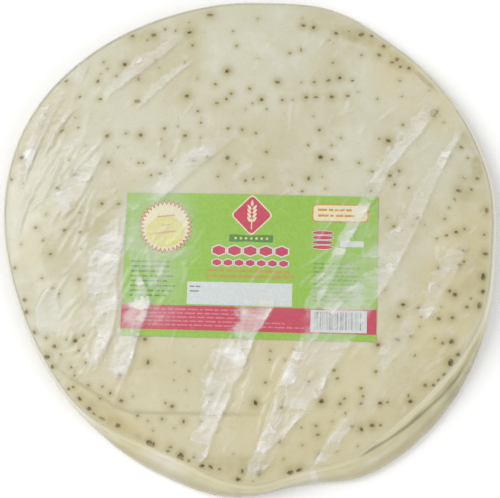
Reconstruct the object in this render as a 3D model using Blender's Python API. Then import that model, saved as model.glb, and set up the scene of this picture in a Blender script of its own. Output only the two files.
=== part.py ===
"""Round lavash flatbreads stacked flat in a clear sealed bag, with a paper label under the film.

The pack lies flat with its label up. +X runs along the label from left to right and +Y towards
the label's top edge. The origin is on the resting face, under the middle of the pack.
"""

import math

import bmesh
import bpy

# The stack in the bag. Lengths are metres, directions are degrees from +X seen from above
BREAD_COUNT = 10
BREAD_THICKNESS = 0.0020
FILM_SLACK = 0.0006
CROWN = 0.0018

# The bag's outline from above is a circle with lobes and flats: direction, half width, reach
PACK_RADIUS = 0.1560
OUTLINE_LOBES = (
    (31, 55, 0.0013),
    (69, 18, 0.0033),
    (151, 51, 0.0053),
    (210, 69, -0.0100),
    (262, 10, 0.0014),
    (283, 16, -0.0058),
    (305, 48, 0.0057),
    (355, 19, -0.0023),
)

# Lower breads stand out past the top one at the front and right, as a fan under the film
SHELF_LOBES = (
    (250, 28, 0.0085),
    (262, 36, 0.0025),
    (309, 40, 0.0128),
)

# The film's slope over that fan: share of the shelf passed, height
SLOPE_BEND = (0.07, 0.0152)
SLOPE_MIDDLE = (0.35, 0.0110)
SLOPE_UNDER = (0.45, 0.0095)

# At the front right the middle breads stand further out, so the slope has a step there
STEP_LOBES = (
    (328, 32, 1.0),
)
STEP_REACH = 0.17
STEP_RISE = 0.0010
STEP_DROP = 0.0015

# The side wall, from the rim of the top bread down to the resting face
RIM_HEIGHT = 0.0180
RIM_ROLL = 0.0028
WALL_MIDDLE = 0.0090
FOOT_HEIGHT = 0.0042
FOOT_ROLL = 0.0045
FOOT_RINGS = 3
ROLL_START = 0.84

# Low swells of the soft breads: direction across the swell, wavelength, height, phase
SWELLS = (
    (65, 0.170, 0.0006, 20),
    (-20, 0.115, 0.0004, 130),
    (112, 0.080, 0.0003, 250),
)

# Broad folds of the slack film on top: start, end, half width, height
FILM_FOLDS = (
    ((-0.043, 0.132), (-0.087, 0.092), 0.007, 0.0010),
    ((0.044, 0.146), (0.005, 0.117), 0.007, 0.0009),
    ((0.124, 0.088), (0.071, 0.021), 0.009, 0.0012),
    ((0.137, 0.067), (0.101, -0.009), 0.007, 0.0009),
    ((-0.107, 0.088), (-0.135, 0.046), 0.010, 0.0012),
    ((-0.090, 0.062), (-0.109, 0.015), 0.008, 0.0010),
    ((-0.062, -0.030), (-0.077, -0.092), 0.009, 0.0012),
    ((0.003, -0.060), (-0.029, -0.136), 0.008, 0.0012),
    ((0.034, -0.060), (0.008, -0.138), 0.008, 0.0012),
    ((0.069, -0.052), (0.032, -0.120), 0.007, 0.0010),
    ((0.130, -0.018), (0.109, -0.050), 0.008, 0.0009),
    ((-0.110, -0.026), (-0.131, -0.047), 0.009, 0.0009),
)
FOLD_TAPER = 0.22

# The paper label lies on the top bread, turned a little clockwise
LABEL_CENTRE = (0.0035, -0.0183)
LABEL_LENGTH = 0.155
LABEL_WIDTH = 0.089
LABEL_TURN = -2.0
LABEL_THICKNESS = 0.0004
LABEL_GAP = 0.0003
LABEL_QUIET_MARGIN = 0.009
LABEL_FOLD_RAMP = 0.008

# How finely each surface is divided
TOP_DIVISIONS = 46
LABEL_COLUMNS = 24
LABEL_ROWS = 14
SHARP_EDGE_ANGLE = math.radians(80)

BREAD_CREAM = (0.66, 0.60, 0.44)
LABEL_GREEN = (0.33, 0.56, 0.09)


def smooth_step(value):
    """Rise from 0 to 1 with level ends."""
    value = min(max(value, 0.0), 1.0)
    return value * value * (3.0 - 2.0 * value)


def sum_of_lobes(lobes, angle):
    """Add up raised-cosine lobes (direction, half width, reach) at an angle in radians."""
    total = 0.0
    for direction, half_width, reach in lobes:
        away = (math.degrees(angle) - direction + 180.0) % 360.0 - 180.0
        if abs(away) < half_width:
            total += reach * (0.5 + 0.5 * math.cos(math.pi * away / half_width))
    return total


def outer_radius(angle):
    """Return the bag's reach from the pole of its outline."""
    return PACK_RADIUS + sum_of_lobes(OUTLINE_LOBES, angle)


def shelf_width(angle):
    """Return how far the lower breads stand out past the top one."""
    return sum_of_lobes(SHELF_LOBES, angle)


def wall_inset(height):
    """Return how far the wall leans in at a height: rolled at the rim and at the foot."""
    if height > WALL_MIDDLE:
        return RIM_ROLL * ((height - WALL_MIDDLE) / (RIM_HEIGHT - WALL_MIDDLE)) ** 2
    if height < FOOT_HEIGHT:
        return FOOT_ROLL * (1.0 - height / FOOT_HEIGHT) ** 2
    return 0.0


def rim_radius(angle):
    """Return the reach of the top bread's rim."""
    return outer_radius(angle) - shelf_width(angle) - wall_inset(RIM_HEIGHT)


def wall_rings(angle):
    """List the wall's rings at an angle as (share of the shelf passed, height), from the rim down."""
    step = sum_of_lobes(STEP_LOBES, angle)
    rings = [
        SLOPE_BEND,
        (SLOPE_MIDDLE[0] + STEP_REACH * step, SLOPE_MIDDLE[1] + STEP_RISE * step),
        (SLOPE_UNDER[0] + STEP_REACH * step, SLOPE_UNDER[1] - STEP_DROP * step),
        (1.0, FOOT_HEIGHT),
    ]
    for ring in range(1, FOOT_RINGS + 1):
        rings.append((1.0, FOOT_HEIGHT * (1.0 - ring / FOOT_RINGS)))
    return rings


def label_axes():
    """Return the label's two unit axes in the plane."""
    turn = math.radians(LABEL_TURN)
    along = (math.cos(turn), math.sin(turn))
    up = (-math.sin(turn), math.cos(turn))
    return along, up


def distance_from_label(x, y):
    """Return how far a point lies outside the label's rectangle, or 0 inside it."""
    along, up = label_axes()
    from_centre = (x - LABEL_CENTRE[0], y - LABEL_CENTRE[1])
    over_length = abs(from_centre[0] * along[0] + from_centre[1] * along[1]) - LABEL_LENGTH / 2
    over_width = abs(from_centre[0] * up[0] + from_centre[1] * up[1]) - LABEL_WIDTH / 2
    return math.hypot(max(over_length, 0.0), max(over_width, 0.0))


def swell_height(x, y):
    """Return the low relief of the soft breads."""
    total = 0.0
    for direction, wavelength, height, phase in SWELLS:
        across = x * math.cos(math.radians(direction)) + y * math.sin(math.radians(direction))
        total += height * math.sin(math.tau * across / wavelength + math.radians(phase))
    return total


def fold_height(x, y):
    """Return the relief of the film's folds, which lie flat where the label keeps them down."""
    clear = distance_from_label(x, y) - LABEL_QUIET_MARGIN
    free = smooth_step(clear / LABEL_FOLD_RAMP)
    if free == 0.0:
        return 0.0
    total = 0.0
    for start, end, half_width, height in FILM_FOLDS:
        run = (end[0] - start[0], end[1] - start[1])
        length = math.hypot(*run)
        from_start = (x - start[0], y - start[1])
        share = (from_start[0] * run[0] + from_start[1] * run[1]) / length ** 2
        across = abs(from_start[0] * run[1] - from_start[1] * run[0]) / length
        if across < half_width and 0.0 < share < 1.0:
            taper = smooth_step(min(share, 1.0 - share) / FOLD_TAPER)
            total = max(total, height * taper * (0.5 + 0.5 * math.cos(math.pi * across / half_width)))
    return total * free


def top_height(x, y):
    """Return the height of the pack's top over a point, rolling down to the rim."""
    angle = math.atan2(y, x)
    share = math.hypot(x, y) / rim_radius(angle)
    stack_top = BREAD_COUNT * BREAD_THICKNESS + FILM_SLACK
    open_top = stack_top + CROWN * (1.0 - share ** 2) + swell_height(x, y) + fold_height(x, y)
    roll = smooth_step((share - ROLL_START) / (1.0 - ROLL_START))
    return open_top + (RIM_HEIGHT - open_top) * roll


def square_to_disc(across, up):
    """Map a point of the square from -1 to 1 to the unit disc, with even cells."""
    if across == 0.0 and up == 0.0:
        return 0.0, 0.0
    if abs(across) > abs(up):
        reach = across
        angle = math.pi / 4 * up / across
    else:
        reach = up
        angle = math.pi / 2 - math.pi / 4 * across / up
    return reach * math.cos(angle), reach * math.sin(angle)


def top_points():
    """Return the top's grid of points, row by row."""
    points = []
    for row in range(TOP_DIVISIONS + 1):
        for column in range(TOP_DIVISIONS + 1):
            across = 2.0 * column / TOP_DIVISIONS - 1.0
            up = 2.0 * row / TOP_DIVISIONS - 1.0
            disc_x, disc_y = square_to_disc(across, up)
            reach = rim_radius(math.atan2(disc_y, disc_x))
            x, y = disc_x * reach, disc_y * reach
            points.append((x, y, top_height(x, y)))
    return points


def edge_of_grid(columns, rows):
    """List the indices round a grid's edge, counter-clockwise from its low corner."""
    side = columns + 1
    edge = [column for column in range(columns)]
    edge += [row * side + columns for row in range(rows)]
    edge += [rows * side + column for column in range(columns, 0, -1)]
    edge += [row * side for row in range(rows, 0, -1)]
    return edge


def grid_faces(columns, rows):
    """List a grid's faces, facing up."""
    side = columns + 1
    faces = []
    for row in range(rows):
        for column in range(columns):
            low = row * side + column
            faces.append((low, low + 1, low + side + 1, low + side))
    return faces


def top_faces():
    """List the top's faces, with the four corner cells split through their outer corners."""
    side = TOP_DIVISIONS + 1
    last = TOP_DIVISIONS - 1
    faces = []
    for face in grid_faces(TOP_DIVISIONS, TOP_DIVISIONS):
        row, column = divmod(face[0], side)
        if row not in (0, last) or column not in (0, last):
            faces.append(face)
        elif row == column:
            faces += [(face[0], face[1], face[2]), (face[0], face[2], face[3])]
        else:
            faces += [(face[0], face[1], face[3]), (face[1], face[2], face[3])]
    return faces


def bag_shape():
    """Return the points and faces of the closed bag round the stack."""
    points = top_points()
    faces = top_faces()
    upper = edge_of_grid(TOP_DIVISIONS, TOP_DIVISIONS)
    angles = [math.atan2(points[index][1], points[index][0]) for index in upper]
    walls = [wall_rings(angle) for angle in angles]
    for ring in range(len(walls[0])):
        lower = []
        for angle, wall in zip(angles, walls):
            share, height = wall[ring]
            reach = outer_radius(angle) - wall_inset(height) - shelf_width(angle) * (1.0 - share)
            lower.append(len(points))
            points.append((reach * math.cos(angle), reach * math.sin(angle), height))
        count = len(upper)
        for index in range(count):
            following = (index + 1) % count
            faces.append((upper[index], lower[index], lower[following], upper[following]))
        upper = lower
    faces.append(tuple(reversed(upper)))
    return points, faces


def middle_of(points):
    """Return the middle of the points' box in the plane."""
    xs = [point[0] for point in points]
    ys = [point[1] for point in points]
    return (min(xs) + max(xs)) / 2, (min(ys) + max(ys)) / 2


def label_shape():
    """Return the label's points about its own centre, and its faces: a thin closed sheet."""
    along, up = label_axes()
    layers = []
    for lift in (LABEL_GAP, LABEL_GAP + LABEL_THICKNESS):
        for row in range(LABEL_ROWS + 1):
            for column in range(LABEL_COLUMNS + 1):
                length_step = (column / LABEL_COLUMNS - 0.5) * LABEL_LENGTH
                width_step = (row / LABEL_ROWS - 0.5) * LABEL_WIDTH
                x = LABEL_CENTRE[0] + length_step * along[0] + width_step * up[0]
                y = LABEL_CENTRE[1] + length_step * along[1] + width_step * up[1]
                layers.append((length_step, width_step, top_height(x, y) + lift))
    layer_size = (LABEL_ROWS + 1) * (LABEL_COLUMNS + 1)
    faces = []
    for face in grid_faces(LABEL_COLUMNS, LABEL_ROWS):
        faces.append(tuple(index + layer_size for index in face))
        faces.append(tuple(reversed(face)))
    edge = edge_of_grid(LABEL_COLUMNS, LABEL_ROWS)
    for index, corner in enumerate(edge):
        following = edge[(index + 1) % len(edge)]
        faces.append((corner, following, following + layer_size, corner + layer_size))
    return layers, faces


def make_material(name, colour, roughness):
    """Return a plain non-metal material."""
    material = bpy.data.materials.new(name)
    material.use_nodes = True
    shader = material.node_tree.nodes["Principled BSDF"]
    shader.inputs["Base Color"].default_value = (*colour, 1.0)
    shader.inputs["Roughness"].default_value = roughness
    shader.inputs["Metallic"].default_value = 0.0
    return material


def make_object(name, points, faces, material):
    """Build a smooth-shaded object from points and faces, with its faces pointing out."""
    mesh = bpy.data.meshes.new(name)
    shape = bmesh.new()
    corners = [shape.verts.new(point) for point in points]
    for face in faces:
        shape.faces.new([corners[index] for index in face])
    bmesh.ops.recalc_face_normals(shape, faces=shape.faces)
    shape.to_mesh(mesh)
    shape.free()
    mesh.shade_smooth()
    mesh.set_sharp_from_angle(angle=SHARP_EDGE_ANGLE)
    mesh.materials.append(material)
    made = bpy.data.objects.new(name, mesh)
    bpy.context.scene.collection.objects.link(made)
    return made


def main():
    for old in list(bpy.data.objects):
        bpy.data.objects.remove(old, do_unlink=True)

    bag_points, bag_faces = bag_shape()
    middle_x, middle_y = middle_of(bag_points)
    bag_points = [(x - middle_x, y - middle_y, z) for x, y, z in bag_points]
    bag_finish = make_material("clear film over cream bread", BREAD_CREAM, 0.35)
    make_object("bag", bag_points, bag_faces, bag_finish)

    label_points, label_faces = label_shape()
    label_finish = make_material("printed label paper", LABEL_GREEN, 0.6)
    label = make_object("label", label_points, label_faces, label_finish)
    label.location = (LABEL_CENTRE[0] - middle_x, LABEL_CENTRE[1] - middle_y, 0.0)
    label.rotation_euler = (0.0, 0.0, math.radians(LABEL_TURN))


main()
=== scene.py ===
"""Looks of a clear film bag of round lavash flatbreads, lying flat with its paper label up.

The film, the breads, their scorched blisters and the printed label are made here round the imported
model. Lengths are metres, except in the tables that say millimetres. +X runs along the label, +Y
towards its top edge and +Z up.
"""

import math
import random

import bpy
import numpy as np
from mathutils import Matrix, Vector, noise


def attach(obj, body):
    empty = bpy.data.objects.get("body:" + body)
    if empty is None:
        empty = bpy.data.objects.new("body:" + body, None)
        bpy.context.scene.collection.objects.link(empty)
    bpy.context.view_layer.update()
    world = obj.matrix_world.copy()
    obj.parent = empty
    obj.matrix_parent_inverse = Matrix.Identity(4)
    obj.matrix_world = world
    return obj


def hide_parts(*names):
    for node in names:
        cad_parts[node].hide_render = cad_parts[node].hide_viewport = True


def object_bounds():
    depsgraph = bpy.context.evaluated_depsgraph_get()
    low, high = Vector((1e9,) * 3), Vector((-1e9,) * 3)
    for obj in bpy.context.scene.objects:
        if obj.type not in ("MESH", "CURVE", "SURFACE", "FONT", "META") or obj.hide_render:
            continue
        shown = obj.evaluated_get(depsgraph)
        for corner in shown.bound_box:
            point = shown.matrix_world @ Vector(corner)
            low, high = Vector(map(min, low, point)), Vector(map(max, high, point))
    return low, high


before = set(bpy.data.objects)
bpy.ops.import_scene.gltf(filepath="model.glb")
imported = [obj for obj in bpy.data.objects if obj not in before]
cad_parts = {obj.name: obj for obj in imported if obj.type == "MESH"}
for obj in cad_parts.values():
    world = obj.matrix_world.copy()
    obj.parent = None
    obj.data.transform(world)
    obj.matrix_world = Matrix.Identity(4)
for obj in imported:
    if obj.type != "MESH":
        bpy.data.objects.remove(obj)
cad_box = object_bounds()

MM = 0.001

# The stack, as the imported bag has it
BREAD_COUNT = 10
STACK_TOP = 0.0206
CROWN = 0.0018
PACK_RADIUS = 0.1560
OUTLINE_LOBES = (
    (31, 55, 0.0013),
    (69, 18, 0.0033),
    (151, 51, 0.0053),
    (210, 69, -0.0100),
    (262, 10, 0.0014),
    (283, 16, -0.0058),
    (305, 48, 0.0057),
    (355, 19, -0.0023),
)
SHELF_LOBES = (
    (250, 28, 0.0085),
    (262, 36, 0.0025),
    (309, 40, 0.0128),
)
SLOPE_BEND = (0.07, 0.0152)
SLOPE_MIDDLE = (0.35, 0.0110)
SLOPE_UNDER = (0.45, 0.0095)
STEP_LOBES = (
    (328, 32, 1.0),
)
STEP_REACH = 0.17
STEP_RISE = 0.0010
STEP_DROP = 0.0015
RIM_HEIGHT = 0.0180
RIM_ROLL = 0.0028
WALL_MIDDLE = 0.0090
FOOT_HEIGHT = 0.0042
FOOT_ROLL = 0.0045
FOOT_RINGS = 3
ROLL_START = 0.84
SWELLS = (
    (65, 0.170, 0.0006, 20),
    (-20, 0.115, 0.0004, 130),
    (112, 0.080, 0.0003, 250),
)
LABEL_CENTRE = (0.0035, -0.0183)
LABEL_LENGTH = 0.155
LABEL_WIDTH = 0.089
LABEL_TURN = -2.0

# How far pieces lie above or below the bag's own surface, and how thick paper and ink are
FILM_LIFT = 0.0002
BREAD_DEPTH = 0.0009
LABEL_DEPTH = 0.00045
PAPER_THICKNESS = 0.00012
INK_STEP = 0.00003
EDGE_CLEARANCE = 0.0009

# Colours as they look under even light
DOUGH_CREAM = "#CDCBB4"
DOUGH_YELLOW = "#C6C0A0"
FLOUR_WHITE = "#D6D4C4"
DOUGH_TOASTED = "#AA9D6A"
DOUGH_WARM = "#D3C493"
DOUGH_SHADE = "#A89E78"
# A paler rim for the top bread, partly painted light that lifts the shade falling on its edge
PALE_DOUGH_AND_LIGHT = "#F0EEDC"
SCORCH_PALE = "#958B60"
SCORCH_BROWN = "#665830"
SCORCH_BLACK = "#3B3219"
FILM_MILK = "#F0EFEA"
WALL_CREAM = "#E0DAB8"
GAP_SHADE = "#9A9473"
LABEL_GREEN = "#8DB83C"
LABEL_RED = "#BE3450"
LABEL_CREAM = "#DDD7B0"
LABEL_YELLOW = "#D5CE68"
LABEL_WHITE = "#CBD1D0"
LABEL_ORANGE = "#C58C40"
LABEL_LEAF = "#4A8038"
LABEL_GREY = "#84898F"
LABEL_PINK = "#CE7484"
LABEL_MOSS = "#6F9E40"

# The film's surface: gloss, how much it mirrors square on and at a grazing angle, and how crinkled it
# is. Then the sizes of its creases, facets, milky cells and clouds, and how far the cells are bent
FILM_ROUGHNESS = 0.28
FILM_SHINE = 0.040
FILM_RIM_SHINE = 0.55
FILM_CRINKLE = 0.45
CREASE_SIZE = 0.0075
FACET_SIZE = 0.0080
CELL_SIZE = 0.0060
CLOUD_SIZE = 0.0080
CELL_BEND = (0.0040, 0.0060)

# Painted shade along the stack's seams, where they show through the milky side: pitch, how wavy, how
# dark, where they end
LAYER_PITCH = 0.0018
LAYER_WANDER = 0.0016
LAYER_SHADE = 0.45
LAYER_TOP = (0.0118, 0.0132)

# The white surroundings and the two lamps
WORLD_STRENGTH = 0.62
LEFT_POWER = 18.0
RIGHT_POWER = 5.2


def smooth_step(value):
    """Rise from 0 to 1 with level ends."""
    value = np.clip(value, 0.0, 1.0)
    return value * value * (3.0 - 2.0 * value)


def rising(value, start, reach):
    """Rise from 0 at a start to 1 a reach past it."""
    return smooth_step((value - start) / reach)


def sum_of_lobes(lobes, angle):
    """Add up raised-cosine lobes at angles in radians."""
    total = np.zeros_like(angle)
    for direction, half_width, reach in lobes:
        away = (np.degrees(angle) - direction + 180.0) % 360.0 - 180.0
        lobe = reach * (0.5 + 0.5 * np.cos(np.pi * away / half_width))
        total += np.where(np.abs(away) < half_width, lobe, 0.0)
    return total


def outer_radius(angle):
    """Return the bag's reach from its pole."""
    return PACK_RADIUS + sum_of_lobes(OUTLINE_LOBES, angle)


def shelf_width(angle):
    """Return how far the lower breads stand out past the top one."""
    return sum_of_lobes(SHELF_LOBES, angle)


def wall_inset(height):
    """Return how far the wall leans in at a height."""
    rolled = RIM_ROLL * ((height - WALL_MIDDLE) / (RIM_HEIGHT - WALL_MIDDLE)) ** 2
    tucked = FOOT_ROLL * (1.0 - height / FOOT_HEIGHT) ** 2
    return np.where(height > WALL_MIDDLE, rolled, np.where(height < FOOT_HEIGHT, tucked, 0.0))


def rim_radius(angle):
    """Return the reach of the top bread's rim."""
    return outer_radius(angle) - shelf_width(angle) - wall_inset(np.float64(RIM_HEIGHT))


def wall_rings(angle):
    """Return the wall's rings at angles, from the rim down, as shares of the shelf and heights."""
    step = sum_of_lobes(STEP_LOBES, angle)
    level = np.ones_like(angle)
    rings = [
        (0.0 * level, RIM_HEIGHT * level),
        (SLOPE_BEND[0] * level, SLOPE_BEND[1] * level),
        (SLOPE_MIDDLE[0] + STEP_REACH * step, SLOPE_MIDDLE[1] + STEP_RISE * step),
        (SLOPE_UNDER[0] + STEP_REACH * step, SLOPE_UNDER[1] - STEP_DROP * step),
        (level, FOOT_HEIGHT * level),
    ]
    for ring in range(1, FOOT_RINGS + 1):
        rings.append((level, FOOT_HEIGHT * (1.0 - ring / FOOT_RINGS) * level))
    return np.array(rings)


def shelf_share(angle, height):
    """Return how far out on the shelf the film still stands at a height."""
    rings = wall_rings(angle)[:5]
    share = np.zeros_like(angle)
    for (near, high), (far, low) in zip(rings, rings[1:]):
        part = np.clip((high - height) / (high - low), 0.0, 1.0)
        share = np.where(height < high, near + part * (far - near), share)
    return share


def find_pole():
    """Return where the outline's pole lies when its box is centred on the origin."""
    angles = np.linspace(0.0, math.tau, 1440, endpoint=False)
    reach = outer_radius(angles)
    x, y = reach * np.cos(angles), reach * np.sin(angles)
    return -(x.min() + x.max()) / 2, -(y.min() + y.max()) / 2


POLE = find_pole()


def polar(x, y):
    """Return angle and distance about the pole."""
    return np.arctan2(y - POLE[1], x - POLE[0]), np.hypot(x - POLE[0], y - POLE[1])


def swell_height(x, y):
    """Return the low relief of the soft stack."""
    total = np.zeros_like(x)
    for direction, wavelength, height, phase in SWELLS:
        turn = math.radians(direction)
        across = (x - POLE[0]) * math.cos(turn) + (y - POLE[1]) * math.sin(turn)
        total += height * np.sin(math.tau * across / wavelength + math.radians(phase))
    return total


def stack_top(x, y):
    """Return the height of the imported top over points, level past the top bread's rim."""
    angle, reach = polar(x, y)
    share = reach / rim_radius(angle)
    open_top = STACK_TOP + CROWN * (1.0 - np.minimum(share, 1.0) ** 2) + swell_height(x, y)
    roll = smooth_step((share - ROLL_START) / (1.0 - ROLL_START))
    return open_top + (RIM_HEIGHT - open_top) * roll


def label_to_pack(along, up):
    """Turn label coordinates, from its centre, into pack coordinates."""
    turn = math.radians(LABEL_TURN)
    x = POLE[0] + LABEL_CENTRE[0] + along * math.cos(turn) - up * math.sin(turn)
    y = POLE[1] + LABEL_CENTRE[1] + along * math.sin(turn) + up * math.cos(turn)
    return x, y


def outside_label(x, y):
    """Return how far points lie outside the label's edge, negative inside."""
    turn = math.radians(LABEL_TURN)
    from_x = x - POLE[0] - LABEL_CENTRE[0]
    from_y = y - POLE[1] - LABEL_CENTRE[1]
    along = from_x * math.cos(turn) + from_y * math.sin(turn)
    up = from_y * math.cos(turn) - from_x * math.sin(turn)
    return np.maximum(np.abs(along) - LABEL_LENGTH / 2, np.abs(up) - LABEL_WIDTH / 2)


def lumps(x, y, size, seed):
    """Return smooth random values, about -0.7 to 0.7, whose lumps are about size metres across."""
    places = zip((x / size).tolist(), (y / size).tolist())
    return np.array([noise.noise((across, up, seed)) for across, up in places])


def add_node(tree, kind, settings=None, inputs=None):
    """Add a node with its settings, values and links."""
    node = tree.nodes.new(kind)
    for name, value in (settings or {}).items():
        setattr(node, name, value)
    for key, value in (inputs or {}).items():
        if isinstance(value, bpy.types.NodeSocket):
            tree.links.new(value, node.inputs[key])
        else:
            node.inputs[key].default_value = value
    return node


def calculate(tree, operation, first, second=0.0, third=0.0):
    """Return the result of a sum on values."""
    settings = {"operation": operation}
    return add_node(tree, "ShaderNodeMath", settings, {0: first, 1: second, 2: third}).outputs[0]


def srgb(code):
    """Turn a hex colour into linear red, green, blue and alpha."""
    parts = [int(code[place:place + 2], 16) / 255 for place in (1, 3, 5)]
    linear = [part / 12.92 if part <= 0.04045 else ((part + 0.055) / 1.055) ** 2.4 for part in parts]
    return (*linear, 1.0)


def new_material(name):
    """Return a new material with its empty tree and its output."""
    material = bpy.data.materials.new(name)
    material.use_nodes = True
    material.node_tree.nodes.clear()
    output = material.node_tree.nodes.new("ShaderNodeOutputMaterial")
    return material, material.node_tree, output


def blend_colours(tree, factor, first, second):
    """Return the colour socket of a mix between two colours by a factor socket."""
    mix = add_node(tree, "ShaderNodeMix", {"data_type": "RGBA"}, {0: factor, 6: first, 7: second})
    return mix.outputs[2]


def noise_socket(tree, vector, size, detail=2.0, roughness=0.5):
    """Return the value of noise whose lumps are about size metres across."""
    values = {"Vector": vector, "Scale": 1.0 / size, "Detail": detail, "Roughness": roughness}
    return add_node(tree, "ShaderNodeTexNoise", None, values).outputs[0]


def ranged(tree, value, low, high, to_low=0.0, to_high=1.0):
    """Return a value mapped from low..high to to_low..to_high, held at both ends."""
    inputs = {0: value, 1: low, 2: high, 3: to_low, 4: to_high}
    return add_node(tree, "ShaderNodeMapRange", {"interpolation_type": "SMOOTHSTEP"}, inputs).outputs[0]


def attribute(tree, name):
    """Return a mesh attribute as a value."""
    return add_node(tree, "ShaderNodeAttribute", {"attribute_name": name}).outputs["Fac"]


def bump(tree, height, strength, distance, beneath=None):
    """Return a normal raised by a height in noise units."""
    values = {"Strength": strength, "Distance": distance, "Height": height}
    if beneath is not None:
        values["Normal"] = beneath
    return add_node(tree, "ShaderNodeBump", None, values).outputs[0]


def lavash_crumb():
    """Thin wheat dough baked pale: a matt cream skin, clouded with flour and with yellower patches;
    painted light lifts the top bread's rim and painted shade darkens its crease.
    """
    material, tree, output = new_material("baked_wheat_dough")
    place = add_node(tree, "ShaderNodeTexCoord").outputs["Object"]
    patches = ranged(tree, noise_socket(tree, place, size=0.045, detail=4.0), low=0.42, high=0.66)
    colour = blend_colours(tree, patches, srgb(DOUGH_CREAM), srgb(DOUGH_YELLOW))
    flour_clouds = noise_socket(tree, place, size=0.014, detail=5.0, roughness=0.65)
    flour = ranged(tree, flour_clouds, low=0.45, high=0.75, to_low=0.0, to_high=0.7)
    colour = blend_colours(tree, flour, colour, srgb(FLOUR_WHITE))
    colour = blend_colours(tree, attribute(tree, "warm"), colour, srgb(DOUGH_WARM))
    colour = blend_colours(tree, attribute(tree, "toast"), colour, srgb(DOUGH_TOASTED))
    # Painted light on the top bread's rim: a paler rim, lifted further to cancel the shade that falls
    # there
    colour = blend_colours(tree, attribute(tree, "pale"), colour, srgb(PALE_DOUGH_AND_LIGHT))
    pits = noise_socket(tree, place, size=0.0022, detail=2.0)
    pores = ranged(tree, pits, low=0.26, high=0.38, to_low=0.28, to_high=0.0)
    colour = blend_colours(tree, pores, colour, srgb(DOUGH_SHADE))
    # Painted shade along the top bread's crease
    crease = calculate(tree, "MULTIPLY", attribute(tree, "crease"), 0.6)
    colour = blend_colours(tree, crease, colour, srgb(DOUGH_SHADE))
    fine = noise_socket(tree, place, size=0.0022, detail=4.0, roughness=0.6)
    grain = bump(tree, fine, strength=0.35, distance=0.0004)
    broad = noise_socket(tree, place, size=0.010, detail=3.0)
    puff = bump(tree, broad, strength=0.5, distance=0.0009, beneath=grain)
    shader = add_node(
        tree,
        "ShaderNodeBsdfPrincipled",
        None,
        {"Base Color": colour, "Roughness": 0.82, "IOR": 1.45, "Normal": puff},
    )
    tree.links.new(shader.outputs[0], output.inputs[0])
    return material


def scorched_crust():
    """Dough blistered on the hot plate: olive brown to near black on top, toasted at its foot."""
    material, tree, output = new_material("scorched_dough_blister")
    place = add_node(tree, "ShaderNodeTexCoord").outputs["Object"]
    speckle = noise_socket(tree, place, size=0.0010, detail=3.0)
    uneven = ranged(tree, speckle, low=0.2, high=0.8, to_low=-0.35, to_high=0.35)
    level = calculate(tree, "ADD", attribute(tree, "core"), uneven)
    burn = attribute(tree, "burn")
    middle = blend_colours(tree, burn, srgb(SCORCH_PALE), srgb(SCORCH_BROWN))
    centre = blend_colours(tree, burn, srgb(SCORCH_PALE), srgb(SCORCH_BLACK))
    colour = blend_colours(tree, ranged(tree, level, low=0.30, high=0.95), srgb(DOUGH_TOASTED), middle)
    colour = blend_colours(tree, ranged(tree, level, low=0.70, high=1.05), colour, centre)
    shader = add_node(
        tree, "ShaderNodeBsdfPrincipled", None, {"Base Color": colour, "Roughness": 0.7, "IOR": 1.45}
    )
    tree.links.new(shader.outputs[0], output.inputs[0])
    return material


def film_normal(tree, turned_place):
    """Return the film's normal, bumped by creases and flat facets most where it is crumpled."""
    creases = noise_socket(tree, turned_place, size=CREASE_SIZE, detail=4.0, roughness=0.6)
    facets = add_node(
        tree,
        "ShaderNodeTexVoronoi",
        {"feature": "F1"},
        {"Vector": turned_place, "Scale": 1.0 / FACET_SIZE, "Detail": 1.0, "Randomness": 1.0},
    ).outputs["Distance"]
    rough = calculate(tree, "MULTIPLY_ADD", facets, 0.8, creases)
    amount = calculate(tree, "ADD", attribute(tree, "crumple"), 0.25)
    return bump(tree, calculate(tree, "MULTIPLY", rough, amount), strength=FILM_CRINKLE, distance=0.0010)


def film_milk(tree, place, turned_place):
    """Return how milky the film is: broken into clouds and facets, and even where it is gathered."""
    wander = noise_socket(tree, place, size=0.0050, detail=3.0, roughness=0.6)
    drift = add_node(
        tree,
        "ShaderNodeCombineXYZ",
        None,
        {
            "X": calculate(tree, "MULTIPLY", wander, CELL_BEND[0]),
            "Y": calculate(tree, "MULTIPLY", wander, CELL_BEND[1]),
        },
    ).outputs[0]
    bent_place = add_node(
        tree, "ShaderNodeVectorMath", {"operation": "ADD"}, {0: turned_place, 1: drift}
    ).outputs[0]
    cells = add_node(
        tree, "ShaderNodeTexVoronoi", {"feature": "F1"}, {"Vector": bent_place, "Scale": 1.0 / CELL_SIZE}
    ).outputs["Color"]
    cell_value = add_node(tree, "ShaderNodeSeparateColor", None, {0: cells}).outputs[0]
    soft = noise_socket(tree, turned_place, size=CLOUD_SIZE, detail=5.0, roughness=0.65)
    clouds = ranged(tree, soft, low=0.30, high=0.70, to_low=0.60, to_high=1.0)
    streaks = calculate(tree, "MULTIPLY", clouds, calculate(tree, "MULTIPLY_ADD", cell_value, 0.75, 0.50))
    to_even = calculate(tree, "SUBTRACT", 1.0, streaks)
    evened = calculate(tree, "MULTIPLY_ADD", to_even, attribute(tree, "steady"), streaks)
    return calculate(tree, "MULTIPLY", attribute(tree, "haze"), evened)


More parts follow.
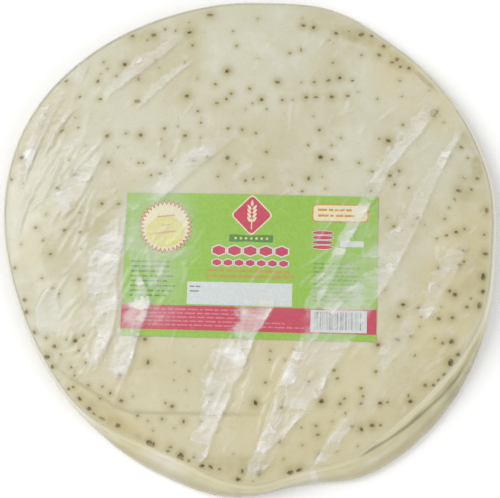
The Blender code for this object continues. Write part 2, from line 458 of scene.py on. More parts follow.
def film_milk_colour(tree, place):
    """Return the milk's colour: white, or the cream of the stack behind it, with painted shade along its
    seams and in its gaps.
    """
    level = add_node(tree, "ShaderNodeSeparateXYZ", None, {0: place}).outputs["Z"]
    wander = noise_socket(tree, place, size=0.030)
    wavy_level = calculate(tree, "MULTIPLY_ADD", wander, LAYER_WANDER, level)
    waves = calculate(tree, "SINE", calculate(tree, "MULTIPLY", wavy_level, math.tau / LAYER_PITCH))
    under_rim = ranged(tree, level, low=LAYER_TOP[0], high=LAYER_TOP[1], to_low=LAYER_SHADE, to_high=0.0)
    # Painted shade: dark lines at the stack's seams, fading out just under the rim
    seams = calculate(tree, "MULTIPLY", ranged(tree, waves, low=0.4, high=1.0), under_rim)
    cream = calculate(tree, "MULTIPLY_ADD", seams, attribute(tree, "rows"), attribute(tree, "cream"))
    colour = blend_colours(tree, cream, srgb(FILM_MILK), srgb(WALL_CREAM))
    in_shade = ranged(tree, cream, low=1.0, high=2.0)
    return blend_colours(tree, in_shade, colour, srgb(GAP_SHADE))


def cast_film():
    """Clear cast polypropylene: the bread shows through it, lamps glint softly, creases go milky; its
    milk also carries painted glare and painted shade.
    """
    material, tree, output = new_material("clear_cast_film")
    place = add_node(tree, "ShaderNodeTexCoord").outputs["Object"]
    turned_place = add_node(
        tree,
        "ShaderNodeMapping",
        None,
        {"Vector": place, "Rotation": (0.0, 0.0, math.radians(-60.0)), "Scale": (0.4, 1.0, 1.0)},
    ).outputs[0]
    normal = film_normal(tree, turned_place)
    mirror = add_node(
        tree, "ShaderNodeBsdfGlossy", None, {"Roughness": FILM_ROUGHNESS, "Normal": normal}
    )
    clear = add_node(tree, "ShaderNodeBsdfTransparent", None, {"Color": (0.985, 0.985, 0.98, 1.0)})
    turned_away = add_node(tree, "ShaderNodeLayerWeight", None, {"Blend": 0.5, "Normal": normal})
    grazing = calculate(tree, "POWER", turned_away.outputs["Facing"], 4.0)
    shine = calculate(tree, "MULTIPLY_ADD", grazing, FILM_RIM_SHINE, FILM_SHINE)
    film = add_node(
        tree, "ShaderNodeMixShader", None, {0: shine, 1: clear.outputs[0], 2: mirror.outputs[0]}
    )
    milk = add_node(
        tree, "ShaderNodeBsdfDiffuse", None, {"Color": film_milk_colour(tree, place), "Roughness": 0.3}
    )
    milky = film_milk(tree, place, turned_place)
    surface = add_node(
        tree, "ShaderNodeMixShader", None, {0: milky, 1: film.outputs[0], 2: milk.outputs[0]}
    )
    tree.links.new(surface.outputs[0], output.inputs[0])
    return material


def printed_paper(name, code):
    """Offset ink on thin uncoated paper: an even matt colour with a faint fibre cloud in it."""
    material, tree, output = new_material(name)
    place = add_node(tree, "ShaderNodeTexCoord").outputs["Object"]
    ink = srgb(code)
    faded = tuple(min(1.0, channel * 1.10 + 0.015) for channel in ink[:3]) + (1.0,)
    fibre_clouds = noise_socket(tree, place, size=0.0018, detail=4.0, roughness=0.6)
    fibre = ranged(tree, fibre_clouds, low=0.35, high=0.75)
    colour = blend_colours(tree, fibre, ink, faded)
    grain = bump(tree, noise_socket(tree, place, size=0.0010, detail=3.0), strength=0.15, distance=0.0002)
    shader = add_node(
        tree,
        "ShaderNodeBsdfPrincipled",
        None,
        {"Base Color": colour, "Roughness": 0.6, "IOR": 1.45, "Normal": grain},
    )
    tree.links.new(shader.outputs[0], output.inputs[0])
    return material


def make_mesh(name, points, faces, values=None):
    """Return a mesh with named values on its points."""
    mesh = bpy.data.meshes.new(name)
    mesh.from_pydata([tuple(point) for point in points], [], faces)
    for label, numbers in (values or {}).items():
        kind = "FLOAT_VECTOR" if np.ndim(numbers) == 2 else "FLOAT"
        field = "vector" if kind == "FLOAT_VECTOR" else "value"
        layer = mesh.attributes.new(label, kind, "POINT")
        layer.data.foreach_set(field, np.asarray(numbers, np.float32).ravel())
    mesh.update()
    return mesh


def make_piece(name, mesh, material=None):
    """Link a smooth piece made of a mesh."""
    if material:
        mesh.materials.append(material)
    mesh.shade_smooth()
    piece = bpy.data.objects.new(name, mesh)
    bpy.context.scene.collection.objects.link(piece)
    return piece


def new_tree(name, inputs):
    """Return a geometry tree with its named inputs, its input node and its output node."""
    tree = bpy.data.node_groups.new(name, "GeometryNodeTree")
    tree.interface.new_socket("Geometry", in_out="INPUT", socket_type="NodeSocketGeometry")
    for label, kind in inputs:
        tree.interface.new_socket(label, in_out="INPUT", socket_type=kind)
    tree.interface.new_socket("Geometry", in_out="OUTPUT", socket_type="NodeSocketGeometry")
    return tree, tree.nodes.new("NodeGroupInput"), tree.nodes.new("NodeGroupOutput")


def finish_tree(tree, given, output, geometry):
    """End a tree in plain mesh with its finish."""
    real = add_node(tree, "GeometryNodeRealizeInstances", None, {0: geometry})
    dressed = add_node(
        tree, "GeometryNodeSetMaterial", None, {"Geometry": real.outputs[0], "Material": given["Finish"]}
    )
    tree.links.new(dressed.outputs[0], output.inputs[0])


def named_value(tree, name, kind="FLOAT"):
    """Return a stored attribute in a geometry tree."""
    node = add_node(tree, "GeometryNodeInputNamedAttribute", {"data_type": kind}, {"Name": name})
    return node.outputs[0]


def grow(name, mesh, tree, values):
    """Run a geometry tree on a mesh and keep the result as a plain piece."""
    piece = bpy.data.objects.new(name, mesh)
    bpy.context.scene.collection.objects.link(piece)
    modifier = piece.modifiers.new("build", "NODES")
    modifier.node_group = tree
    for item in tree.interface.items_tree:
        if item.in_out == "INPUT" and item.name in values:
            modifier[item.identifier] = values[item.name]
    depsgraph = bpy.context.evaluated_depsgraph_get()
    grown = bpy.data.meshes.new_from_object(
        piece.evaluated_get(depsgraph), preserve_all_data_layers=True, depsgraph=depsgraph
    )
    piece.modifiers.clear()
    piece.data = grown
    bpy.data.meshes.remove(mesh)
    grown.name = name
    grown.shade_smooth()
    return piece


def disc_grid(divisions, crowding=1.0):
    """Return angle and share of the reach for a grid of points on a disc, and its faces."""
    line = np.linspace(-1.0, 1.0, divisions + 1)
    across, up = np.meshgrid(line, line)
    wide = np.abs(across) > np.abs(up)
    safe_across = np.where(across == 0.0, 1.0, across)
    safe_up = np.where(up == 0.0, 1.0, up)
    reach = np.where(wide, across, up)
    turn = np.where(wide, np.pi / 4 * up / safe_across, np.pi / 2 - np.pi / 4 * across / safe_up)
    disc_x, disc_y = reach * np.cos(turn), reach * np.sin(turn)
    share = 1.0 - (1.0 - np.minimum(np.hypot(disc_x, disc_y), 1.0)) ** crowding
    side = divisions + 1
    low = (np.arange(divisions)[:, None] * side + np.arange(divisions)[None, :]).ravel()
    faces = np.stack([low, low + 1, low + side + 1, low + side], 1)
    return np.arctan2(disc_y, disc_x).ravel(), share.ravel(), faces


def edge_of_grid(divisions):
    """List the indices round a square grid's edge, counter-clockwise."""
    side = divisions + 1
    edge = [column for column in range(divisions)]
    edge += [row * side + divisions for row in range(divisions)]
    edge += [divisions * side + column for column in range(divisions, 0, -1)]
    edge += [row * side for row in range(divisions, 0, -1)]
    return np.array(edge)


def near_path(x, y, path):
    """Return, for points, the signed distance west of a path, and the stretch and part of it passed."""
    best = np.full_like(x, np.inf)
    west = np.zeros_like(x)
    passed = np.zeros_like(x)
    for index, (start, end) in enumerate(zip(path, path[1:])):
        length = math.dist(start[:2], end[:2])
        run_x, run_y = (end[0] - start[0]) / length, (end[1] - start[1]) / length
        from_x, from_y = x - start[0], y - start[1]
        ahead = np.clip(from_x * run_x + from_y * run_y, 0.0, length)
        away = np.hypot(from_x - ahead * run_x, from_y - ahead * run_y)
        side = np.sign(from_x * run_y - from_y * run_x)
        nearer = away < best
        best = np.where(nearer, away, best)
        west = np.where(nearer, away * side, west)
        passed = np.where(nearer, index + ahead / length, passed)
    return west, passed


# Bands where the slack film stands up and catches the lamps, in millimetres; their milk is painted glare.
# Each is the path of its sharp edge from the top down, as (x, y, width of the band west of it, or east
# where negative), then how milky with painted glare it is at the edge and inside, how ragged its soft
# side is, and how high its crest stands
FILM_BANDS = (
    (
        ((-38, 131, 5), (-50, 119, 9), (-62, 109.5, 10), (-75, 100, 8), (-83, 93, 5), (-89, 89, 3)),
        0.34, 0.28, 1.5, 0.9,
    ),
    (
        ((-26, 119, 2), (-43, 105, 5), (-55, 94, 5), (-62, 87, 4), (-69, 82, 2)),
        0.28, 0.16, 1.0, 0.6,
    ),
    (
        ((2, 68, 8), (-20, 50, 14), (-35, 38, 15), (-45, 29, 13), (-58, 18, 8)),
        0.12, 0.26, 3.0, 1.0,
    ),
    (
        ((-108, 101, 4), (-121, 81, 9), (-129, 62, 10), (-136, 45, 8), (-143, 22, 5)),
        0.15, 0.26, 2.0, 0.9,
    ),
    (
        ((-100, 90, 3), (-112, 78, 5), (-119, 66, 6), (-127, 50, 4)),
        0.26, 0.12, 1.5, 0.7,
    ),
    (
        ((-87, 58, 4), (-91, 47, 8), (-96, 38, 14), (-100, 29, 18), (-106, 20, 18), (-114, 12, 10)),
        0.24, 0.25, 2.5, 1.0,
    ),
    (
        ((-89, 63, 2), (-97, 52, 3), (-105, 43, 2)),
        0.32, 0.2, 0.6, 0.4,
    ),
    (
        ((-124, 45, 4), (-133, 28, 6), (-139, 12, 6), (-142, -4, 4)),
        0.14, 0.2, 2.0, 0.8,
    ),
    (
        ((-97, 121, 7), (-101, 110, 9), (-104, 99, 6)),
        0.22, 0.26, 1.5, 0.6,
    ),
    (
        ((-66, -18, 1), (-60, -30, 7), (-57, -40, 13), (-60, -50, 15), (-64, -61, 15), (-67, -73, 13),
         (-70, -82, 15), (-73, -89, 15)),
        0.5, 0.46, 1.5, 1.4,
    ),
    (
        ((-71, 20, 3), (-74, 5, 14), (-76, -10, 20), (-78, -25, 22), (-77, -40, 18), (-79, -55, 14),
         (-84, -70, 12), (-91, -84, 6)),
        0.22, 0.3, 3.5, 0.8,
    ),
    (
        ((-116, -26, -4), (-124, -34, -14), (-129, -43, -22), (-128, -54, -24), (-121, -64, -14)),
        0.3, 0.24, 3.0, 0.9,
    ),
    (
        ((20, -36, 4), (18, -44, 18), (13, -52, 20), (8, -60, 16), (5, -66, 15), (2, -75, 24),
         (-1, -83, 24), (-6, -90, 21), (-8, -98, 19), (-12, -106, 15), (-15, -113, 13), (-19, -122, 12),
         (-21, -131, 12), (-29, -140, 8)),
        0.44, 0.3, 3.0, 1.3,
    ),
    (
        ((139, 70, 2), (129, 54, 5), (119, 35, 8), (112, 20, 10), (106, 5, 12), (100, -6, 16),
         (93, -20, 22), (85, -32, 28), (74, -50, 32), (64, -66, 31), (57, -76, 28), (50, -86, 29),
         (46, -96, 26), (36, -108, 20), (30, -114, 16), (26, -119, 14), (21, -127, 12), (15, -138, 11),
         (5, -147, 6)),
        0.36, 0.22, 2.0, 1.3,
    ),
    (
        ((34, -62, -5), (30, -72, -7), (25, -82, -8), (20, -92, -9), (19, -100, -6), (16, -110, -5),
         (12, -118, -6), (8, -128, -6), (3, -138, -5), (0, -148, -4)),
        0.42, 0.34, 2.0, 0.6,
    ),
    (
        ((66, -104, -4), (58, -113, -7), (51, -121, -9), (47, -128, -8), (43, -134, -6), (41, -138, -4),
         (35, -145, -2)),
        0.42, 0.24, 2.0, 0.9,
    ),
    (
        ((108, -52, 10), (101, -62, 12), (93, -72, 12), (86, -80, 8), (79, -88, 3)),
        0.2, 0.2, 2.5, 0.8,
    ),
    (
        ((88, -90, 7), (78, -102, 8), (69, -113, 5)),
        0.1, 0.12, 2.0, 0.5,
    ),
    (
        ((137, -4, 8), (133, -14, 14), (127, -26, 14), (120, -38, 13), (113, -48, 9), (107, -55, 4)),
        0.22, 0.24, 2.5, 0.9,
    ),
    (
        ((123, 86, 9), (117, 74, 12), (109, 63, 9), (102, 56, 8), (96, 48, 9), (90, 41, 8), (86, 32, 8),
         (80, 22, 8), (72, 9, 8), (63, -8, 8), (55, -25, 9), (46, -42, 9), (39, -57, 7)),
        0.32, 0.24, 2.0, 1.2,
    ),
    (
        ((37, 140, -20), (27, 134, -32), (18, 127, -40), (11, 118, -44), (5, 103, -36)),
        0.12, 0.07, 4.0, 0.6,
    ),
    (
        ((59, 128, 2), (52, 120, 2)),
        0.3, 0.2, 0.5, 0.3,
    ),
    (
        ((104, 12, 4), (96, 2, 5), (88, -8, 5), (82, -20, 3)),
        0.14, 0.14, 1.5, 0.4,
    ),
)

# Places where the film lies slack and a little milky: centre, half sizes, turn, how milky
VEILS = (
    ((-54, 4), (30, 46), 0, 0.32),
    ((-58, -38), (28, 22), 0, 0.24),
    ((64, -24), (19, 48), -22, 0.18),
    ((104, 88), (24, 15), 50, 0.20),
    ((-115, 40), (36, 80), 22, 0.05),
)

# How a band tapers at its ends, in stretches of its path, and how much milkier than its numbers it is,
# as painted glare. Then in millimetres: its crest's reach on both sides, its soft edge, and the painted
# glare along its sharp edge. Then how ragged all soft sides are, and where in its width the milk fades,
# and over how much
BAND_TAPER = 0.9
BAND_GLARE = 1.75
CREST_EAST = 1.3
CREST_WEST = 9.0
BAND_SOFTNESS = 0.8
EDGE_GLARE_REACH = 1.6
BAND_RAGGED = 1.7
BAND_FADE = (0.72, 0.28)

# Which way the film's wrinkles run near some places: x and y in millimetres, degrees from +X
WRINKLE_FLOW = (
    (-65, 110, 42),
    (-105, 50, 60),
    (-130, 30, 64),
    (-70, -60, 76),
    (-110, -50, 52),
    (0, -95, 68),
    (40, -95, 60),
    (55, -125, 52),
    (95, 50, 52),
    (115, 20, 66),
    (20, 120, 40),
    (-35, 45, 38),
    (0, 60, 45),
    (120, -35, 52),
    (90, -80, 50),
    (130, -80, 48),
)
FLOW_BLUR = 60.0

# Where wrinkles crowd: centre, half sizes in millimetres, turn, how much
CRUMPLED = (
    ((-112, 48), (34, 78), 22, 1.0),
    ((-88, -52), (34, 52), -10, 1.0),
    ((-50, -10), (36, 34), 0, 0.7),
    ((-10, -95), (18, 60), -18, 0.7),
    ((24, -100), (18, 60), -25, 0.6),
    ((60, 0), (24, 50), -30, 0.4),
    ((92, 40), (22, 56), -32, 0.35),
    ((120, -60), (22, 60), -30, 0.35),
)
FILM_HAZE = 0.03

# Short wrinkles and long creases, drawn at random: the ranges of their sizes in metres, of height as
# a share of width, and of how milky they are. Then how far they stray from the flow, in radians
WRINKLE_SEED = 11
WRINKLE_COUNT = 1700
LONG_CREASE_EVERY = 5
LONG_CREASE_LENGTH = (0.028, 0.055)
WRINKLE_LENGTH = (0.005, 0.026)
WRINKLE_WIDTH = (0.0012, 0.0026)
WRINKLE_STEEPNESS = (0.10, 0.30)
WRINKLE_MILK = (0.04, 0.24)
WRINKLE_BEND = 0.10
LONG_CREASE_STRAY = 0.12
WRINKLE_STRAY = 0.30


def zone_share(x, y, zone):
    """Return how deep points lie in an oval zone, 1 at its middle and 0 outside it."""
    (centre_x, centre_y), (half_x, half_y), turn = zone[:3]
    from_x, from_y = x - POLE[0] - centre_x * MM, y - POLE[1] - centre_y * MM
    cosine, sine = math.cos(math.radians(turn)), math.sin(math.radians(turn))
    along = (from_x * cosine + from_y * sine) / (half_x * MM)
    over = (from_y * cosine - from_x * sine) / (half_y * MM)
    return smooth_step(1.8 * (1.0 - np.hypot(along, over)))


def band_fields(x, y):
    """Return the relief of the film's bands over points, and their milkiness, which is painted glare."""
    relief = np.zeros_like(x)
    haze = np.zeros_like(x)
    wander = 2.2 * np.abs(lumps(x, y, size=0.008, seed=3.0)) - 0.4
    wander += 0.7 * lumps(x, y, size=0.003, seed=8.0)
    uneven = 1.0 + 0.7 * lumps(x, y, size=0.011, seed=31.0)
    for path, edge_glare, body_glare, ragged, crest in FILM_BANDS:
        places = [(POLE[0] + px * MM, POLE[1] + py * MM) for px, py, _ in path]
        side, passed = near_path(x, y, places)
        widths = np.interp(passed, range(len(path)), [width for *_, width in path])
        side = np.where(widths < 0.0, -side, side)
        breadth = np.abs(widths) * MM
        taper = smooth_step(np.minimum(passed, len(path) - 1 - passed) / BAND_TAPER)
        soft_side = side + BAND_RAGGED * wander * ragged * MM * np.clip(side / breadth, 0.10, 1.0)
        inside = smooth_step(soft_side / (BAND_SOFTNESS * MM) + 0.5)
        fading = 1.0 - rising(soft_side / breadth, *BAND_FADE)
        near_edge = np.exp(-np.maximum(side, 0.0) / (EDGE_GLARE_REACH * MM))
        bright = body_glare + (edge_glare - body_glare) * near_edge
        haze = np.maximum(haze, BAND_GLARE * bright * uneven * inside * fading * taper)
        west = np.clip(1.0 - side / np.minimum(breadth, CREST_WEST * MM), 0.0, 1.0)
        east = np.clip(1.0 + side / (CREST_EAST * MM), 0.0, 1.0)
        relief = np.maximum(relief, crest * MM * taper * np.where(side > 0.0, west, east))
    return relief, haze


def flow_at(x, y):
    """Return which way wrinkles run at a place, in radians."""
    total = 0.0
    weight = 0.0
    for flow_x, flow_y, direction in WRINKLE_FLOW:
        near = 1.0 / ((x / MM - flow_x) ** 2 + (y / MM - flow_y) ** 2 + FLOW_BLUR)
        total += near * direction
        weight += near
    return math.radians(total / weight)


def wrinkle_fields(x, y, milky):
    """Return the relief and milkiness of many short wrinkles, thickest where the film is crumpled."""
    draw = random.Random(WRINKLE_SEED)
    relief = np.zeros_like(x)
    haze = np.zeros_like(x)
    for index in range(WRINKLE_COUNT):
        long = index % LONG_CREASE_EVERY == 0
        angle = draw.uniform(0.0, math.tau)
        reach = PACK_RADIUS * math.sqrt(draw.uniform(0.0, 0.96))
        centre = (POLE[0] + reach * math.cos(angle), POLE[1] + reach * math.sin(angle))
        here = np.array([centre[0]]), np.array([centre[1]])
        crowd = max(float(zone_share(*here, zone)[0]) * zone[3] for zone in CRUMPLED)
        keep = draw.random()
        flow = flow_at(reach * math.cos(angle), reach * math.sin(angle))
        turn = flow + draw.gauss(0.0, LONG_CREASE_STRAY if long else WRINKLE_STRAY)
        if long:
            length = draw.uniform(*LONG_CREASE_LENGTH)
        else:
            length = draw.uniform(*WRINKLE_LENGTH) * draw.uniform(0.6, 1.2)
        width = draw.uniform(*WRINKLE_WIDTH)
        height = draw.uniform(*WRINKLE_STEEPNESS) * width
        milk = draw.uniform(*WRINKLE_MILK)
        bend = draw.uniform(-WRINKLE_BEND, WRINKLE_BEND)
        if keep > (0.90 * crowd if long else 0.08 + 0.92 * crowd):
            continue
        half_x, half_y = math.cos(turn) * length / 2, math.sin(turn) * length / 2
        path = (
            (centre[0] + half_x, centre[1] + half_y),
            (centre[0] - half_y * bend, centre[1] + half_x * bend),
            (centre[0] - half_x, centre[1] - half_y),
        )
        near = np.hypot(x - centre[0], y - centre[1]) < length * 0.6 + 2 * width
        side, passed = near_path(x[near], y[near], path)
        taper = smooth_step(np.minimum(passed, 2.0 - passed) / 0.8)
        ramp = np.clip(1.0 - np.where(side > 0.0, side / width, -side / (0.6 * width)), 0.0, 1.0)
        relief[near] += height * taper * ramp
        haze[near] = np.maximum(haze[near], milk * taper * ramp)
    return relief, haze * (1.2 + 1.0 * np.minimum(milky / 0.5, 1.0))


FILM_DIVISIONS = 262
PLEAT_SEED = 5
PLEAT_DEPTH = 0.0004
PLEAT_WAVES = 9
SLOPE_RINGS = 6
SLOPE_PARTS = 3

# Milkiness of the film down the side: low, near the rim and over the shelf, at most on the top and
# down the side, and the strongest painted glare. Then how far the front rim's crest, a painted highlight,
# and the rim where no lower bread stands out, are whiter than the breads, how wide a shelf ends that,
# and how much of the painted shade of the stack's seams shows on the shelf
SIDE_HAZE = 0.34
RIM_HAZE = 0.80
SHELF_HAZE = 0.20
MOST_TOP_HAZE = 0.92
MOST_SIDE_HAZE = 0.95
MOST_GLARE = 0.8
CREST_SHINE = 0.50
BARE_RIM_MILK = 0.55
BARE_SHELF = 0.003
FAN_ROWS = 0.15
CREST_LOBES = (
    (325, 32, 1.0),
)

# Where each of these sets in, and how far on it is full: near the rim as shares of the top bread's
# radius, down the side as heights, over the shelf as its width
HELD_FILM = (0.90, 0.10)
RIM_COVER = (0.988, 0.012)
RIM_TINT = (0.976, 0.012)
RIM_SHINE = (0.991, 0.007)
SIDE_COVER = (0.006, 0.006)
TOP_COVER = (0.0125, 0.0030)
TOP_SHINE = (0.0148, 0.0022)
TOP_WHITER = (0.0115, 0.0030)
SHELF_COVER = (0.0, 0.006)
SHELF_SHADE = (0.0, 0.004)

# How deep in shade the lower breads' fan lies, by direction
FAN_SHADE_LOBES = (
    (326, 42, 0.46),
    (236, 20, 0.15),
)

# Glares down the side by direction; then, in millimetres, the glare along the slope and the shaded gap
# between the upper and the lower breads
SIDE_GLARES = (
    (250, 9, 0.5),
    (232, 10, 0.3),
    (284, 8, 0.3),
    (52, 14, 0.6),
)
SLOPE_GLARE = ((114, -106), (104, -116), (90, -127), (75, -136), (62, -145), (55, -150))
SLOPE_GLARE_WIDTH = 0.0011
SLOPE_GLARE_STRENGTH = 0.6
BREAD_GAP = (
    (36, -143), (45, -140), (60, -136), (70, -132), (80, -126), (90, -120),
    (97, -115), (108, -106), (118, -97), (127, -87), (134, -76), (141, -63),
)
BREAD_GAP_WIDTH = 0.0008
LINE_FADE = 3.0


def pleat_shift(angle, height):
    """Return how far the gathered film waves in and out round the wall."""
    draw = random.Random(PLEAT_SEED)
    wave = np.zeros_like(angle)
    for _ in range(PLEAT_WAVES):
        count = draw.randint(14, 90)
        phase = draw.uniform(0.0, math.tau)
        lean = draw.uniform(-250.0, 250.0)
        wave += np.sin(count * angle + phase + lean * height) / PLEAT_WAVES
    return PLEAT_DEPTH * wave * np.sin(np.pi * np.clip(height / RIM_HEIGHT, 0.0, 1.0))


def rounded_rings(angle):
    """Return the wall's rings with their corners cut once, from the rim down, closer on the slope."""
    rings = wall_rings(angle)
    early = 0.75 * rings[:-1] + 0.25 * rings[1:]
    late = 0.25 * rings[:-1] + 0.75 * rings[1:]
    middle = np.stack([early, late], 1).reshape(-1, *rings.shape[1:])
    cut = np.concatenate([middle[1:-1], rings[-1:]])
    fine = []
    for index, (upper, lower) in enumerate(zip(cut, cut[1:])):
        parts = SLOPE_PARTS if index < SLOPE_RINGS else 1
        fine += [upper + (lower - upper) * part / parts for part in range(parts)]
    return np.array(fine + [cut[-1]])


def near_line(x, y, line, half_width):
    """Return how close points lie to a line in millimetres, 1 on it, fading at its two ends."""
    away, along = near_path(x, y, [(POLE[0] + px * MM, POLE[1] + py * MM) for px, py in line])
    ends = np.minimum(along, len(line) - 1 - along) / LINE_FADE
    return np.exp(-((away / half_width) ** 2)) * smooth_step(ends)


def gap_shade(x, y):
    """Return how deep in the shade between the breads points of the film lie."""
    patchy = 0.60 + 0.7 * lumps(x, y, size=0.018, seed=12.0)
    return near_line(x, y, BREAD_GAP, BREAD_GAP_WIDTH) * patchy


def bare_share(angle):
    """Return how far no lower bread stands out at angles, 1 where none does."""
    return 1.0 - smooth_step(shelf_width(angle) / BARE_SHELF)


def film_over_top(angle, share):
    """Return the film's points over the top bread, their values and the painted glare of its bands."""
    reach = share * rim_radius(angle)
    x, y = POLE[0] + reach * np.cos(angle), POLE[1] + reach * np.sin(angle)
    band_relief, band_glare = band_fields(x, y)
    wrinkle_relief, wrinkle_haze = wrinkle_fields(x, y, band_glare)
    slack = 1.0 - rising(share, *HELD_FILM)
    height = stack_top(x, y) + FILM_LIFT + (band_relief + wrinkle_relief) * slack
    veil = np.max([zone_share(x, y, zone) * zone[3] for zone in VEILS], 0)
    veil *= 0.9 + 0.7 * lumps(x, y, size=0.016, seed=41.0)
    milky = FILM_HAZE + veil + band_glare + wrinkle_haze * (1.0 - 0.6 * band_glare)
    rim_cover = rising(share, *RIM_COVER)
    # Painted highlight along the front rim's crest, and painted shade in the gap between the breads, both
    # set in the milk's cream
    shine = CREST_SHINE * sum_of_lobes(CREST_LOBES, angle) * rising(share, *RIM_SHINE)
    rim_cream_light_and_shade = 1.0 - BARE_RIM_MILK * bare_share(angle) - shine + gap_shade(x, y)
    values = {
        "haze": np.clip(milky + (RIM_HAZE - milky) * rim_cover, 0.0, MOST_TOP_HAZE),
        "crumple": np.max([zone_share(x, y, zone) * zone[3] for zone in CRUMPLED], 0),
        "cream": rising(share, *RIM_TINT) * rim_cream_light_and_shade,
        "steady": rim_cover,
        "rows": np.zeros_like(x),
    }
    return np.stack([x, y, height], 1), values, band_glare


def film_down_side(angle, passed, level, band_glare):
    """Return one ring of the film down the side, and its values, at shares of the shelf and heights."""
    shelf = shelf_width(angle)
    wall = outer_radius(angle) - wall_inset(level)
    wall = wall - shelf * (1.0 - passed) + pleat_shift(angle, level)
    x, y = POLE[0] + wall * np.cos(angle), POLE[1] + wall * np.sin(angle)
    patchy = 1.0 + 0.15 * lumps(x, y, size=0.009, seed=21.0)
    # Painted glare down the side, where the lamps would catch the film; it whitens the milk
    glare = sum_of_lobes(SIDE_GLARES, angle) * patchy + band_glare
    glare += SLOPE_GLARE_STRENGTH * near_line(x, y, SLOPE_GLARE, SLOPE_GLARE_WIDTH)
    glare += CREST_SHINE * sum_of_lobes(CREST_LOBES, angle) * rising(level, *TOP_SHINE)
    glare = np.clip(glare, 0.0, MOST_GLARE)
    # Painted shade over the lower breads' fan and in the gap between the breads; cream past 1 darkens the
    # milk
    fan_shade = sum_of_lobes(FAN_SHADE_LOBES, angle) * rising(shelf, *SHELF_SHADE)
    gap = gap_shade(x, y) + fan_shade * (0.8 + 0.6 * lumps(x, y, size=0.012, seed=33.0))
    side_haze = SIDE_HAZE + (RIM_HAZE - SIDE_HAZE) * rising(level, *SIDE_COVER)
    side_haze = side_haze + SHELF_HAZE * rising(shelf, *SHELF_COVER) * (1.0 - side_haze)
    top_haze = MOST_SIDE_HAZE * rising(level, *TOP_COVER)
    bare = bare_share(angle)
    whiter = BARE_RIM_MILK * bare * rising(level, *TOP_WHITER)
    values = {
        "haze": np.clip(np.maximum(side_haze * patchy, top_haze), 0.0, MOST_SIDE_HAZE),
        "crumple": np.full_like(level, 0.2),
        "cream": np.clip(1.0 - whiter - glare + gap * (1.0 - glare), 0.0, 2.0),
        "steady": np.ones_like(level),
        "rows": FAN_ROWS + (1.0 - FAN_ROWS) * bare,
    }
    return np.stack([x, y, np.maximum(level, FILM_LIFT / 2)], 1), values


def make_film(material):
    """Make the closed film bag drawn over the stack."""
    angle, share, faces = disc_grid(FILM_DIVISIONS)
    top_points, top_values, band_glare = film_over_top(angle, share)
    edge = edge_of_grid(FILM_DIVISIONS)
    points = [top_points]
    values = {label: [numbers] for label, numbers in top_values.items()}
    all_faces = [tuple(face) for face in faces.tolist()]
    upper = edge
    total = len(top_points)
    for passed, level in rounded_rings(angle[edge]):
        ring_points, ring_values = film_down_side(angle[edge], passed, level, band_glare[edge])
        points.append(ring_points)
        for label, numbers in ring_values.items():
            values[label].append(numbers)
        lower = np.arange(total, total + len(edge))
        total += len(edge)
        ring_faces = np.stack([upper, lower, np.roll(lower, -1), np.roll(upper, -1)], 1)
        all_faces += [tuple(face) for face in ring_faces.tolist()]
        upper = lower
    all_faces.append(tuple(reversed(upper.tolist())))
    joined = {label: np.concatenate(parts) for label, parts in values.items()}
    mesh = make_mesh("film_bag", np.vstack(points), all_faces, joined)
    return make_piece("film_bag", mesh, material)


TOP_DIVISIONS = 196
TOP_CROWDING = 1.25
LOWER_DIVISIONS = 84
LOWER_CROWDING = 1.6
BREAD_CLEARANCE = 0.0009
BREAD_THICKNESS = 0.0017
RIM_SLOPE = 0.0009
RIM_WAVE = 0.0003
# How far in from the top bread's rim, and how strongly, it is paler, with painted light that lifts the
# shade there
PALE_AND_LIT_RIM = 0.0016
PALE_AND_LIGHT_STRENGTH = 0.9
RIM_TOAST = 0.15
RIM_TOAST_REACH = 0.004

# The toasted halo round each blister: how much further it spreads, and how brown it is at least and
# where most burnt
HALO_SPREAD = 1.9
HALO_EDGE = 0.0008
HALO_REACH = 0.012
HALO_BROWN = (0.45, 0.5)

# The crease across the top bread, in millimetres: a shallow groove, with painted shade along it
BREAD_CREASE = (
    (-124, -72), (-107, -85), (-90, -95), (-78, -103),
    (-68, -106.5), (-30, -107.5), (0, -108), (24, -108),
)
CREASE_DEPTH = 0.0005
CREASE_WIDTH = 0.0022

# Slightly browner places of the top bread: centre, half sizes in millimetres, turn, how much
TOAST_ZONES = (
    ((-78, -116), (46, 11), -38, 0.50),
    ((-10, -138), (44, 8), 2, 0.45),
    ((72, 129), (20, 7), -22, 0.62),
    ((98, 111), (16, 5), -48, 0.48),
    ((112, 100), (15, 2.2), -46, 0.90),
    ((100, -92), (40, 22), 48, 0.22),
    ((-100, 8), (20, 9), 10, 0.35),
    ((134, 25), (9, 6), -20, 0.50),
    ((144, 43), (6, 10), 0, 0.75),
    ((139, 60), (7, 12), 25, 0.50),
    ((-48, 62), (8, 14), 0, 0.20),
    ((-135, -30), (8, 22), 10, 0.30),
    ((-30, -85), (34, 20), 0, 0.14),
    ((125, -72), (10, 14), 0, 0.25),
    ((-60, 134), (14, 6), 15, 0.30),
    ((140, -30), (13, 28), -12, 0.32),
)

# Yellower places of the breads, given in the same way
WARM_ZONES = (
    ((0, -120), (190, 110), 0, 0.42),
    ((112, 96), (60, 34), -45, 0.40),
    ((-70, -122), (60, 16), -38, 0.30),
    ((128, -30), (30, 74), -15, 0.42),
)


